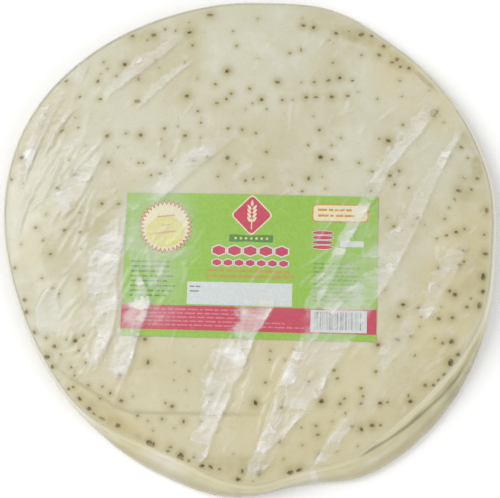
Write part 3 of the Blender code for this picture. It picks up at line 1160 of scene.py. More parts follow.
def flatbread_tree():
    """Make the tree that turns a flat outline into a soft bread with a rounded rim and low relief."""
    tree, inlet, outlet = new_tree(
        "flatbread",
        (
            ("Thickness", "NodeSocketFloat"),
            ("Rim Tuck", "NodeSocketFloat"),
            ("Puff Height", "NodeSocketFloat"),
            ("Puff Size", "NodeSocketFloat"),
            ("Grain Height", "NodeSocketFloat"),
            ("Grain Size", "NodeSocketFloat"),
            ("Seed", "NodeSocketFloat"),
            ("Finish", "NodeSocketMaterial"),
        ),
    )
    given = inlet.outputs
    inward = calculate(tree, "DIVIDE", named_value(tree, "rim"), named_value(tree, "slope"))
    falling = calculate(tree, "MAXIMUM", calculate(tree, "SUBTRACT", 1.0, inward), 0.0)
    full = calculate(tree, "SUBTRACT", 1.0, calculate(tree, "POWER", falling, 1.4))
    tuck = calculate(tree, "MULTIPLY", calculate(tree, "SUBTRACT", full, 1.0), given["Rim Tuck"])
    place = add_node(tree, "GeometryNodeInputPosition").outputs[0]
    relief = []
    for kind in ("Puff", "Grain"):
        lump = add_node(
            tree,
            "ShaderNodeTexNoise",
            {"noise_dimensions": "4D"},
            {
                "Vector": place,
                "W": given["Seed"],
                "Scale": calculate(tree, "DIVIDE", 1.0, given[f"{kind} Size"]),
                "Detail": 2.0,
            },
        ).outputs[0]
        centred = calculate(tree, "MULTIPLY_ADD", lump, 2.0, -1.0)
        relief.append(calculate(tree, "MULTIPLY", centred, given[f"{kind} Height"]))
    lumpy = calculate(tree, "MULTIPLY", calculate(tree, "ADD", *relief), full)
    under = calculate(tree, "SUBTRACT", tuck, given["Thickness"])
    short = calculate(tree, "SUBTRACT", full, 1.0)
    rolled = calculate(tree, "MULTIPLY_ADD", short, given["Thickness"], tuck)
    sides = []
    for drop in (calculate(tree, "ADD", rolled, lumpy), under):
        offset = add_node(tree, "ShaderNodeCombineXYZ", None, {"Z": drop}).outputs[0]
        moved = add_node(
            tree, "GeometryNodeSetPosition", None, {"Geometry": given["Geometry"], "Offset": offset}
        )
        sides.append(moved.outputs[0])
    flipped = add_node(tree, "GeometryNodeFlipFaces", None, {"Mesh": sides[1]}).outputs[0]
    joined = add_node(tree, "GeometryNodeJoinGeometry")
    tree.links.new(flipped, joined.inputs[0])
    tree.links.new(sides[0], joined.inputs[0])
    merged = add_node(
        tree, "GeometryNodeMergeByDistance", None, {"Geometry": joined.outputs[0], "Distance": 0.00001}
    )
    finish_tree(tree, given, outlet, merged.outputs[0])
    return tree


def room_under_film(angle, level):
    """Return how far out the top of a bread can lie under the film."""
    height = np.full_like(angle, (RIM_HEIGHT - BREAD_DEPTH) * level / BREAD_COUNT)
    room = shelf_share(angle, height + BREAD_CLEARANCE)
    return outer_radius(angle) - shelf_width(angle) * (1.0 - room) - wall_inset(height) - EDGE_CLEARANCE


def bread_edge(angle, level):
    """Return where a bread's rim starts to slope down along the film, and where it ends."""
    draw = random.Random(100 + level)
    waves = np.zeros_like(angle)
    for count in (2, 3, 5, 7, 9, 13):
        swing = draw.uniform(-1.0, 1.0)
        waves += swing * np.sin(count * angle + draw.uniform(0.0, math.tau)) / count ** 0.5
    end = room_under_film(angle, level - 1) - RIM_WAVE * np.clip(1.0 + waves, 0.0, 2.5)
    start = np.minimum(room_under_film(angle, level), end - RIM_SLOPE)
    return start, end


def bread_sheet(level, divisions, spots):
    """Return the flat outline mesh of one bread at its height in the stack, with its values."""
    angle, share, faces = disc_grid(divisions, TOP_CROWDING if level == BREAD_COUNT else LOWER_CROWDING)
    part = level / BREAD_COUNT
    start, edge = bread_edge(angle, level)
    reach = share * edge
    x, y = POLE[0] + reach * np.cos(angle), POLE[1] + reach * np.sin(angle)
    z = (stack_top(x, y) - BREAD_DEPTH) * part
    rim = edge - reach
    toast = RIM_TOAST * np.exp(-rim / RIM_TOAST_REACH)
    crease = np.zeros_like(x)
    pale = np.zeros_like(x)
    warm = np.sum([zone_share(x, y, zone) * zone[3] for zone in WARM_ZONES], 0)
    if level == BREAD_COUNT:
        toast = np.zeros_like(x)
        # A paler rim with painted light over it, lifting the shade that falls on the top bread's edge
        pale = PALE_AND_LIGHT_STRENGTH * np.exp(-((rim / PALE_AND_LIT_RIM) ** 2))
        uneven = 0.75 + 0.5 * lumps(x, y, size=0.009, seed=2.0) + 0.4 * lumps(x, y, size=0.0035, seed=6.0)
        for zone in TOAST_ZONES:
            toast = np.maximum(toast, zone_share(x, y, zone) * zone[3] * uneven)
        # The crease: a shallow groove, whose mask also paints shade along it
        path = [(POLE[0] + px * MM, POLE[1] + py * MM) for px, py in BREAD_CREASE]
        away, passed = near_path(x, y, path)
        faint = smooth_step(np.minimum(passed, len(path) - 1 - passed) / 1.5)
        crease = np.exp(-(away / (CREASE_WIDTH / 2)) ** 2) * faint
        z -= CREASE_DEPTH * crease
        for spot_x, spot_y, length, width, _, burn in spots:
            near = np.hypot(x - spot_x, y - spot_y) < HALO_REACH
            halo = 0.5 * (length + width) * HALO_SPREAD + HALO_EDGE
            away = np.hypot(x[near] - spot_x, y[near] - spot_y)
            brown = HALO_BROWN[0] + HALO_BROWN[1] * burn
            toast[near] = np.maximum(toast[near], brown * np.exp(-((away / halo) ** 2)))
    values = {
        "rim": rim,
        "slope": edge - start,
        "toast": toast,
        "crease": crease,
        "pale": pale,
        "warm": np.minimum(warm, 1.0),
    }
    return make_mesh("sheet", np.stack([x, y, z], 1), [tuple(f) for f in faces.tolist()], values)


# Scorched blisters of the top bread, in millimetres: place, length, width, turn, how burnt
MARKED_SPOTS = (
    (-22, 146, 4.0, 1.8, 0, 0.5),
    (-35, 134, 3.4, 2.0, 10, 0.8),
    (-58, 133, 3.4, 2.6, 0, 0.5),
    (-72, 133, 2.4, 2.0, 0, 0.4),
    (-76, 113, 2.6, 2.4, 0, 0.9),
    (-81, 105, 2.0, 1.8, 0, 0.4),
    (-93, 102, 2.4, 2.0, 60, 0.5),
    (-91, 90, 2.4, 1.4, 0, 0.4),
    (-104, 92, 1.8, 1.6, 0, 0.3),
    (-114, 104, 2.6, 1.6, 20, 0.3),
    (-67, 103, 2.6, 1.2, 100, 0.2),
    (-67, 88, 4.4, 2.2, -15, 0.1),
    (-36, 91, 3.0, 2.2, 0, 0.8),
    (-10.5, 107, 3.0, 2.4, 20, 1.0),
    (-8, 92, 1.8, 1.6, 0, 0.6),
    (-11, 88.5, 1.8, 1.6, 0, 0.5),
    (-17, 86, 2.4, 1.6, 0, 0.2),
    (-29, 81, 1.8, 1.4, 0, 0.2),
    (-10, 69, 2.0, 1.6, 0, 0.3),
    (-50, 70, 1.8, 1.6, 0, 0.3),
    (-1, 68, 1.8, 1.4, 80, 0.4),
    (-86, 66, 2.6, 2.0, 20, 0.4),
    (-65, 66, 2.4, 2.2, 0, 0.8),
    (-37, 65, 2.4, 1.8, 20, 0.7),
    (-115, 70, 3.6, 1.2, 35, 0.3),
    (-10, 50, 2.6, 2.4, 0, 0.6),
    (-23, 51, 1.8, 1.6, 0, 0.3),
    (-31, 48.5, 2.8, 1.2, 0, 0.4),
    (-85, 49, 2.2, 1.8, 0, 0.4),
    (-66, 48, 1.4, 1.2, 0, 0.3),
    (-63, 48, 1.4, 1.2, 0, 0.3),
    (-45, 49, 1.4, 1.2, 0, 0.3),
    (-58, 40, 1.8, 1.4, 0, 0.3),
    (-52, 40.5, 2.0, 1.6, 0, 0.5),
    (-105, 41, 3.6, 1.8, 5, 0.7),
    (-141, 54, 2.8, 2.6, 0, 0.7),
    (-148, 40, 2.0, 1.6, 0, 0.4),
    (-117, 33, 3.0, 1.4, -25, 0.3),
    (-88.5, 22.5, 2.2, 1.4, -20, 0.7),
    (-78, 22, 1.8, 1.6, 0, 0.4),
    (-130, 8, 2.2, 1.8, 0, 0.5),
    (-112, 6, 2.6, 1.8, 10, 0.7),
    (-102, 4.5, 1.6, 1.4, 0, 0.4),
    (-16, 38, 1.6, 1.2, 0, 0.2),
    (1, 35, 1.8, 1.4, 60, 0.3),
    (37.5, 136.5, 3.0, 1.6, 0, 0.8),
    (44, 135, 2.8, 1.8, 60, 0.7),
    (58, 131, 2.6, 1.8, -10, 0.6),
    (74, 130, 3.4, 2.4, 20, 0.7),
    (80.5, 129, 2.0, 1.6, 0, 0.6),
    (88, 122, 2.4, 2.0, 0, 0.6),
    (96, 113, 2.4, 2.0, 30, 0.7),
    (93, 111, 2.6, 1.4, 0, 0.5),
    (98, 108, 2.0, 1.6, 0, 0.4),
    (103.5, 107, 2.2, 2.0, 0, 0.6),
    (85, 116, 2.4, 2.0, 0, 0.3),
    (36, 120, 2.6, 1.0, 90, 0.3),
    (29, 118, 2.0, 1.4, 0, 0.2),
    (21, 99, 3.2, 1.8, 0, 0.7),
    (44, 98.5, 1.8, 1.4, 0, 0.4),
    (53, 99.5, 2.4, 1.4, 20, 0.5),
    (60, 101, 2.2, 1.8, 0, 0.8),
    (68, 99, 2.0, 1.2, 0, 0.3),
    (11, 87.5, 2.2, 2.0, 0, 0.9),
    (24, 87, 1.8, 1.4, 0, 0.3),
    (39, 88.5, 2.0, 1.8, 0, 0.6),
    (45, 88.5, 3.0, 1.2, 0, 0.4),
    (55, 88.5, 2.6, 2.0, 0, 0.8),
    (65, 89, 2.6, 1.4, 0, 0.4),
    (47.5, 49.5, 2.8, 2.6, 0, 1.0),
    (89.5, 59.5, 3.0, 2.4, 0, 0.9),
    (90, 37, 2.6, 2.0, -10, 0.5),
    (95.5, 40, 2.0, 1.8, 30, 0.5),
    (118, 77, 5.0, 3.4, 30, 0.05),
    (131, 27, 4.0, 1.8, -10, 0.5),
    (148, 15, 3.0, 2.2, 80, 0.5),
    (143, 35, 2.4, 1.8, 0, 0.4),
    (134, 55, 2.8, 1.6, -20, 0.3),
    (129, 1, 2.4, 1.4, 10, 0.8),
    (123, -1, 1.8, 1.6, 0, 0.3),
    (134, 3, 1.6, 1.2, 0, 0.4),
    (146, 0, 1.6, 1.4, 0, 0.3),
    (106, 10, 2.2, 1.4, 20, 0.3),
    (40, 36, 2.4, 1.6, 80, 0.5),
    (14, 53, 1.8, 1.4, 0, 0.5),
    (6, 36, 1.8, 1.2, 60, 0.3),
    (12, 37, 1.4, 1.2, 0, 0.2),
    (36, 28, 1.4, 1.2, 0, 0.3),
    (79, 40, 2.0, 1.2, 0, 0.2),
    (78, 27.5, 2.4, 1.6, 20, 0.3),
    (47, 67, 2.0, 1.6, 0, 0.3),
    (-120, -9, 2.2, 1.4, 0, 0.4),
    (-143, -17, 2.0, 2.0, 0, 0.3),
    (-125, -24, 1.4, 1.2, 0, 0.3),
    (-102, -25, 2.2, 1.8, 0, 0.5),
    (-136, -37, 2.4, 2.2, 0, 0.5),
    (-136, -45, 2.8, 2.2, 70, 0.8),
    (-131, -58, 2.8, 1.8, -40, 0.5),
    (-103, -63, 3.0, 2.4, -10, 0.8),
    (-98, -60, 1.8, 1.6, 0, 0.3),
    (-116, -66, 2.6, 2.2, 0, 0.5),
    (-112, -71, 1.8, 1.6, 0, 0.2),
    (-122, -73, 4.2, 2.6, 0, 1.0),
    (-119, -79.5, 2.6, 2.0, 100, 0.9),
    (-105, -79, 1.8, 1.4, 0, 0.3),
    (-58, -76.5, 3.0, 2.0, 95, 0.6),
    (-65, -61, 2.2, 1.6, -10, 0.4),
    (-60, -62.5, 2.8, 2.0, 10, 0.6),
    (-75, -84, 2.0, 1.6, 0, 0.3),
    (-107, -92, 1.8, 1.6, 0, 0.4),
    (-104, -91, 1.8, 1.4, 20, 0.4),
    (-100, -98, 2.8, 1.8, -40, 0.8),
    (-94, -104, 2.8, 2.2, 0, 0.9),
    (-91, -107, 2.4, 1.2, -35, 0.6),
    (-86, -110, 5.0, 1.4, -28, 0.6),
    (-76, -114, 3.2, 2.4, 0, 0.7),
    (-74, -99.5, 2.8, 1.8, 5, 0.5),
    (-43, -103, 2.2, 2.0, 0, 0.6),
    (-47, -101, 1.4, 1.2, 0, 0.2),
    (-49, -110.5, 1.8, 1.4, 0, 0.2),
    (-36, -112, 2.2, 1.4, 90, 0.6),
    (-19.5, -96, 2.2, 1.6, 0, 0.3),
    (-57, -127, 5.6, 3.4, -40, 1.0),
    (-47, -133, 2.2, 1.6, 0, 0.4),
    (-44, -127, 2.4, 1.2, 0, 0.2),
    (-38.5, -134, 4.4, 3.6, 40, 1.0),
    (-33, -135, 2.0, 1.6, 0, 0.2),
    (-30, -133, 1.6, 1.4, 0, 0.2),
    (-25, -138, 3.0, 1.8, 10, 0.9),
    (-20, -138.5, 3.4, 1.4, -50, 0.8),
    (-14.5, -140, 1.8, 1.4, 0, 0.4),
    (-1, -141, 3.6, 1.6, 85, 0.7),
    (-3.5, -146, 2.8, 2.2, 0, 0.9),
    (9.5, -142, 4.6, 1.8, 55, 0.9),
    (27.5, -142, 3.8, 2.6, 10, 0.9),
    (33, -141.5, 3.6, 2.2, 20, 1.0),
    (7, -101, 3.4, 2.2, 110, 1.0),
    (22.5, -104, 2.0, 1.6, 20, 0.4),
    (46.5, -100.5, 3.0, 2.6, 0, 0.9),
    (57.5, -102, 2.0, 1.8, 0, 0.5),
    (60, -99, 1.8, 1.2, 40, 0.4),
    (70, -102, 2.2, 1.4, 0, 0.4),
    (70, -93, 1.8, 1.6, 0, 0.3),
    (71, -97.5, 1.6, 1.4, 0, 0.3),
    (81, -101.5, 2.6, 2.0, 0, 0.9),
    (85.5, -101, 1.8, 1.2, 0, 0.3),
    (99, -100.5, 3.2, 2.0, 10, 0.8),
    (98, -97, 2.4, 1.0, 100, 0.4),
    (108, -91, 2.4, 2.0, 0, 0.6),
    (113, -91, 2.0, 1.8, 0, 0.6),
    (64, -115, 2.2, 1.8, 0, 0.4),
    (69.5, -116.5, 3.0, 1.8, -55, 0.9),
    (76, -114.5, 3.0, 2.2, 0, 0.9),
    (81, -114.5, 2.0, 1.4, 0, 0.2),
    (44, -120, 2.4, 1.4, 0, 0.3),
    (43, -115, 1.6, 1.4, 0, 0.2),
    (21.5, -124, 2.4, 1.6, 60, 0.4),
    (80.5, -67, 2.4, 2.0, 0, 0.8),
    (79, -83, 1.8, 1.6, 0, 0.3),
    (96, -43, 2.6, 1.8, 0, 0.9),
    (93, -50, 2.2, 1.8, 0, 0.6),
    (92, -64, 3.4, 1.2, -25, 0.3),
    (100, -62, 1.8, 1.4, 0, 0.4),
    (105, -45, 2.0, 1.4, 0, 0.2),
    (117, -51.5, 2.6, 2.0, 0, 0.5),
    (125, -51, 2.2, 2.0, 0, 0.6),
    (127, -37, 2.8, 2.4, 0, 0.9),
    (124, -35, 2.2, 1.8, 0, 0.6),
    (134, -44.5, 2.4, 1.8, 0, 0.4),
    (141.5, -43.5, 4.0, 2.2, 80, 0.8),
    (144, -35, 2.8, 2.2, 60, 0.8),
    (144.5, -26, 4.2, 2.6, 80, 1.0),
    (146, -12, 3.8, 1.8, 0, 0.7),
    (133, -10, 2.4, 2.0, 0, 0.6),
    (130, -19, 2.8, 1.6, 0, 0.5),
    (133, -17, 1.8, 1.4, 0, 0.4),
    (118, -21, 2.0, 1.8, 80, 0.3),
    (123.5, -77.5, 4.2, 3.2, 75, 1.0),
    (128, -73, 2.6, 2.2, 0, 0.7),
    (124, -65, 3.2, 2.8, 0, 0.9),
    (119, -66, 1.8, 1.8, 0, 0.4),
    (120, -85, 2.2, 1.6, 40, 0.4),
    (116, -88, 1.8, 1.4, 40, 0.4),
    (54, -82, 2.2, 1.8, 0, 0.2),
    (56, -87, 2.0, 1.4, 0, 0.2),
    (13, -89, 1.8, 1.4, 0, 0.2),
)
SPOT_SCALE = 0.60

# From this length a blister is a broken ring of beads round a paler middle: how far out they stand,
# how wide and how long they are, and the middle's size and burn
RING_LENGTH = 4.3
RING_BEADS = 9
BEAD_PLACE = (0.45, 0.80)
BEAD_WIDTH = (0.28, 0.46)
BEAD_STRETCH = (1.3, 2.0)
MIDDLE_LENGTH = 0.75
MIDDLE_WIDTH = 0.65
MIDDLE_BURN = 0.35

# The small random blisters
SPOT_SEED = 3
RANDOM_SPOTS = 130
RANDOM_SIZE = (0.00030, 0.00080)
RANDOM_STRETCH = (1.0, 1.7)
RANDOM_BURN = 0.7
LABEL_MARGIN = 0.002
SPOT_SPACING = 0.005
SPOT_MARGIN = 0.0014


def held_on_bread(x, y):
    """Return a place moved in, where needed, so that a blister there lies on the top bread."""
    angle, reach = polar(np.array([x]), np.array([y]))
    room = bread_edge(angle, BREAD_COUNT)[0][0] - SPOT_MARGIN
    if reach[0] <= room:
        return x, y
    return POLE[0] + room * math.cos(angle[0]), POLE[1] + room * math.sin(angle[0])


def spot_list():
    """Return every blister as x, y, half length, half width, turn and burn, marked ones first."""
    draw = random.Random(SPOT_SEED)
    spots = []
    for px, py, length, width, turn, burn in MARKED_SPOTS:
        x, y = held_on_bread(POLE[0] + px * MM, POLE[1] + py * MM)
        turn = math.radians(turn)
        half_length, half_width = SPOT_SCALE * length * MM, SPOT_SCALE * width * MM
        if length < RING_LENGTH:
            spots.append((x, y, half_length, half_width, turn, burn))
            continue
        for bead in range(RING_BEADS):
            around = math.tau * (bead + draw.uniform(-0.3, 0.3)) / (RING_BEADS + 2)
            out = draw.uniform(*BEAD_PLACE)
            along, over = out * half_length * math.cos(around), out * half_width * math.sin(around)
            size = draw.uniform(*BEAD_WIDTH) * half_width
            place = (
                x + along * math.cos(turn) - over * math.sin(turn),
                y + along * math.sin(turn) + over * math.cos(turn),
            )
            stretch = draw.uniform(*BEAD_STRETCH)
            lie = turn + around + math.pi / 2
            spots.append((*place, size * stretch, size, lie, burn * draw.uniform(0.7, 1.0)))
        middle = (MIDDLE_LENGTH * half_length, MIDDLE_WIDTH * half_width)
        spots.append((x, y, *middle, turn, MIDDLE_BURN * burn))
    made = 0
    while made < RANDOM_SPOTS:
        angle = np.array([draw.uniform(-math.pi, math.pi)])
        share = math.sqrt(draw.uniform(0.0, 0.97))
        reach = share * float(rim_radius(angle)[0])
        x, y = held_on_bread(POLE[0] + reach * math.cos(angle[0]), POLE[1] + reach * math.sin(angle[0]))
        size = draw.uniform(*RANDOM_SIZE)
        turn = draw.uniform(0.0, math.pi)
        stretch = draw.uniform(*RANDOM_STRETCH)
        burn = draw.random() ** 2 * RANDOM_BURN
        if draw.random() > 0.40 + 0.60 * share ** 3:
            continue
        if outside_label(np.array([x]), np.array([y]))[0] < LABEL_MARGIN:
            continue
        if any(math.hypot(x - other[0], y - other[1]) < SPOT_SPACING for other in spots):
            continue
        spots.append((x, y, size * stretch, size, turn, burn))
        made += 1
    return spots


def blister_tree():
    """Make the tree that sets ragged low domes on the top bread, one at each given point."""
    tree, inlet, outlet = new_tree(
        "scorched_blisters",
        (
            ("Bread", "NodeSocketObject"),
            ("Raggedness", "NodeSocketFloat"),
            ("Ragged Size", "NodeSocketFloat"),
            ("Seed", "NodeSocketFloat"),
            ("Finish", "NodeSocketMaterial"),
        ),
    )
    given = inlet.outputs
    bread = add_node(
        tree, "GeometryNodeObjectInfo", {"transform_space": "RELATIVE"}, {"Object": given["Bread"]}
    )
    place = add_node(tree, "GeometryNodeInputPosition").outputs[0]
    above = add_node(tree, "ShaderNodeVectorMath", {"operation": "ADD"}, {0: place, 1: (0.0, 0.0, 0.03)})
    ray = add_node(
        tree,
        "GeometryNodeRaycast",
        None,
        {
            "Target Geometry": bread.outputs["Geometry"],
            "Source Position": above.outputs[0],
            "Ray Direction": (0.0, 0.0, -1.0),
            "Ray Length": 0.1,
        },
    )
    landed = add_node(
        tree,
        "GeometryNodeSetPosition",
        None,
        {
            "Geometry": given["Geometry"],
            "Selection": ray.outputs["Is Hit"],
            "Position": ray.outputs["Hit Position"],
        },
    )
    ball = add_node(tree, "GeometryNodeMeshIcoSphere", None, {"Radius": 1.0, "Subdivisions": 3})
    ball_place = add_node(tree, "GeometryNodeInputPosition").outputs[0]
    ball_top = add_node(tree, "ShaderNodeSeparateXYZ", None, {0: ball_place}).outputs["Z"]
    cored = add_node(
        tree,
        "GeometryNodeStoreNamedAttribute",
        {"data_type": "FLOAT", "domain": "POINT"},
        {"Geometry": ball.outputs[0], "Name": "core", "Value": ball_top},
    )
    facing = add_node(tree, "ShaderNodeCombineXYZ", None, {"Z": named_value(tree, "turn")}).outputs[0]
    set_out = add_node(
        tree,
        "GeometryNodeInstanceOnPoints",
        None,
        {
            "Points": landed.outputs[0],
            "Instance": cored.outputs[0],
            "Rotation": facing,
            "Scale": named_value(tree, "size", "FLOAT_VECTOR"),
        },
    )
    real = add_node(tree, "GeometryNodeRealizeInstances", None, {0: set_out.outputs[0]})
    ragged = add_node(
        tree,
        "ShaderNodeTexNoise",
        {"noise_dimensions": "4D"},
        {
            "Vector": place,
            "W": given["Seed"],
            "Scale": calculate(tree, "DIVIDE", 1.0, given["Ragged Size"]),
            "Detail": 2.0,
        },
    ).outputs[1]
    centred = add_node(
        tree, "ShaderNodeVectorMath", {"operation": "SUBTRACT"}, {0: ragged, 1: (0.5, 0.5, 0.5)}
    ).outputs[0]
    pushed = add_node(
        tree, "ShaderNodeVectorMath", {"operation": "SCALE"}, {0: centred, "Scale": given["Raggedness"]}
    ).outputs[0]
    flat = add_node(
        tree, "ShaderNodeVectorMath", {"operation": "MULTIPLY"}, {0: pushed, 1: (1.0, 1.0, 0.1)}
    )
    shaped = add_node(
        tree, "GeometryNodeSetPosition", None, {"Geometry": real.outputs[0], "Offset": flat.outputs[0]}
    )
    finish_tree(tree, given, outlet, shaped.outputs[0])
    return tree


def make_breads(dough, crust):
    """Make the ten breads and the blisters of the top one."""
    tree = flatbread_tree()
    spots = spot_list()
    breads = []
    for level in range(1, BREAD_COUNT + 1):
        top = level == BREAD_COUNT
        sheet = bread_sheet(level, TOP_DIVISIONS if top else LOWER_DIVISIONS, spots)
        values = {
            "Thickness": BREAD_THICKNESS,
            "Rim Tuck": 0.00015,
            "Puff Height": 0.00032 if top else 0.00002,
            "Puff Size": 0.016,
            "Grain Height": 0.00010 if top else 0.00001,
            "Grain Size": 0.0045,
            "Seed": float(level),
            "Finish": dough,
        }
        breads.append(grow(f"bread_{level:02d}", sheet, tree, values))
    points = [(x, y, RIM_HEIGHT) for x, y, *_ in spots]
    sizes = np.array([(length, width, 0.00012 + 0.08 * width) for _, _, length, width, *_ in spots])
    turns = np.array([spot[4] for spot in spots])
    burns = np.array([spot[5] for spot in spots])
    seeds = make_mesh("spots", points, [], {"size": sizes, "turn": turns, "burn": burns})
    values = {
        "Bread": breads[-1],
        "Raggedness": 0.0009,
        "Ragged Size": 0.0014,
        "Seed": 4.0,
        "Finish": crust,
    }
    blisters = grow("scorched_blisters", seeds, blister_tree(), values)
    return breads, blisters


def lay_on_label(mesh, layer):
    """Move a flat mesh, drawn in label coordinates, onto the paper."""
    count = len(mesh.vertices)
    places = np.zeros(count * 3, np.float32)
    mesh.vertices.foreach_get("co", places)
    places = places.reshape(-1, 3).astype(float)
    x, y = label_to_pack(places[:, 0], places[:, 1])
    z = stack_top(x, y) - LABEL_DEPTH + PAPER_THICKNESS + layer * INK_STEP
    mesh.vertices.foreach_set("co", np.stack([x, y, z], 1).astype(np.float32).ravel())
    mesh.update()


def field(low_u, low_v, high_u, high_v, cell=3.0):
    """Return a rectangle in label millimetres, in cells small enough to follow the paper."""
    columns = max(1, math.ceil((high_u - low_u) / cell))
    rows = max(1, math.ceil((high_v - low_v) / cell))
    points = []
    for row in range(rows + 1):
        for column in range(columns + 1):
            u = low_u + (high_u - low_u) * column / columns
            v = low_v + (high_v - low_v) * row / rows
            points.append((u * MM, v * MM, 0.0))
    side = columns + 1
    faces = []
    for row in range(rows):
        for column in range(columns):
            low = row * side + column
            faces.append((low, low + 1, low + side + 1, low + side))
    return points, faces


def fan(centre, outline, rings=4):
    """Return a filled outline about its centre, in label millimetres."""
    points = [(centre[0] * MM, centre[1] * MM, 0.0)]
    count = len(outline)
    for ring in range(1, rings + 1):
        part = ring / rings
        for u, v in outline:
            points.append(((centre[0] + u * part) * MM, (centre[1] + v * part) * MM, 0.0))
    faces = [(0, 1 + index, 1 + (index + 1) % count) for index in range(count)]
    for ring in range(rings - 1):
        start = 1 + ring * count
        for index in range(count):
            inner, inner_next = start + index, start + (index + 1) % count
            faces.append((inner, inner + count, inner_next + count, inner_next))
    return points, faces


def oval(half_u, half_v, count=48):
    """Return an oval's outline."""
    angles = [math.tau * index / count for index in range(count)]
    return [(half_u * math.cos(angle), half_v * math.sin(angle)) for angle in angles]


def burst(outer, inner, tips):
    """Return the outline of a sun with pointed rays."""
    outline = []
    for index in range(2 * tips):
        radius = outer if index % 2 == 0 else inner
        angle = math.pi * index / tips
        outline.append((radius * math.cos(angle), radius * math.sin(angle)))
    return outline


def rounded_box(half_u, half_v, corner, steps=5):
    """Return a rounded rectangle's outline."""
    outline = []
    for quarter, (side_u, side_v) in enumerate(((1, 1), (-1, 1), (-1, -1), (1, -1))):
        for step in range(steps + 1):
            angle = math.pi / 2 * (quarter + step / steps)
            u = side_u * (half_u - corner) + corner * math.cos(angle)
            v = side_v * (half_v - corner) + corner * math.sin(angle)
            outline.append((u, v))
    return outline


def turned(outline, degrees):
    """Return an outline turned about its centre."""
    cosine, sine = math.cos(math.radians(degrees)), math.sin(math.radians(degrees))
    return [(u * cosine - v * sine, u * sine + v * cosine) for u, v in outline]


def stamp_tree():
    """Make the tree that stamps one printed shape at many places."""
    tree, inlet, outlet = new_tree(
        "printed_stamps", (("Shape", "NodeSocketObject"), ("Finish", "NodeSocketMaterial"))
    )
    given = inlet.outputs
    shape = add_node(
        tree, "GeometryNodeObjectInfo", {"transform_space": "ORIGINAL"}, {"Object": given["Shape"]}
    )
    facing = add_node(tree, "ShaderNodeCombineXYZ", None, {"Z": named_value(tree, "turn")}).outputs[0]
    stamped = add_node(
        tree,
        "GeometryNodeInstanceOnPoints",
        None,
        {
            "Points": given["Geometry"],
            "Instance": shape.outputs["Geometry"],
            "Rotation": facing,
            "Scale": named_value(tree, "size", "FLOAT_VECTOR"),
        },
    )
    finish_tree(tree, given, outlet, stamped.outputs[0])
    return tree


def unit_shapes():
    """Return the small flat shapes that are stamped, each about one metre long before scaling."""
    grain = []
    for step in range(14):
        angle = math.tau * step / 14
        grain.append((500 * math.cos(angle), 500 * math.sin(angle) * abs(math.sin(angle / 2)) ** 0.5))
    lozenge = [(500, 250), (0, 500), (-500, 250), (-500, -250), (0, -500), (500, -250)]
    shapes = {
        "strip": field(-500, -500, 500, 500, 170),
        "grain": fan((0, 0), grain, 1),
        "disc": fan((0, 0), oval(500, 500, 28), 2),
        "lozenge": fan((0, 0), lozenge, 1),
    }
    made = {}
    for name, (points, faces) in shapes.items():
        made[name] = make_piece(name, make_mesh(name, points, faces))
    return made


def small_lines(low_u, high_u, top_v, pitch, rows, height, seed):
    """Return rows of short strips that stand for small print, with no letters."""
    draw = random.Random(seed)
    places = []
    for row in range(rows):
        u = low_u
        stop = high_u - draw.uniform(0.0, 0.25) * (high_u - low_u)
        while u < stop - 0.8:
            length = min(draw.uniform(1.8, 7.0), stop - u)
            places.append((u + length / 2, top_v - row * pitch, length, height, 0))
            u += length + draw.uniform(0.7, 1.1)
    return places


def bar_rows(low_u, high_u, centre_v, height, seed):
    """Return upright bars of uneven width."""
    draw = random.Random(seed)
    places = []
    u = low_u
    while u < high_u:
        width = draw.choice((0.35, 0.35, 0.7, 1.05))
        places.append((u + width / 2, centre_v, width, height, 0))
        u += width + draw.choice((0.35, 0.7, 1.0))
    return places


def grown_by(places, extra):
    """Return stamps made larger, to lie under others as an edge."""
    return [(u, v, length + extra, width + extra, turn) for u, v, length, width, turn in places]


def paper_sheet(half_length, half_width, paper):
    """Make the sheet of paper itself, closed round its edge."""
    points, faces = field(-half_length, -half_width, half_length, half_width, 2.5)
    count = len(points)
    under = [tuple(index + count for index in reversed(face)) for face in faces]
    sides = set()
    for face in faces:
        sides.update(zip(face, face[1:] + face[:1]))
    border = [pair for pair in sorted(sides) if (pair[1], pair[0]) not in sides]
    rims = [(second, first, first + count, second + count) for first, second in border]
    mesh = make_mesh("label_paper", points + points, list(faces) + under + rims)
    lay_on_label(mesh, 0)
    for vertex in mesh.vertices[count:]:
        vertex.co.z -= PAPER_THICKNESS
    return make_piece("label_paper", mesh, paper)


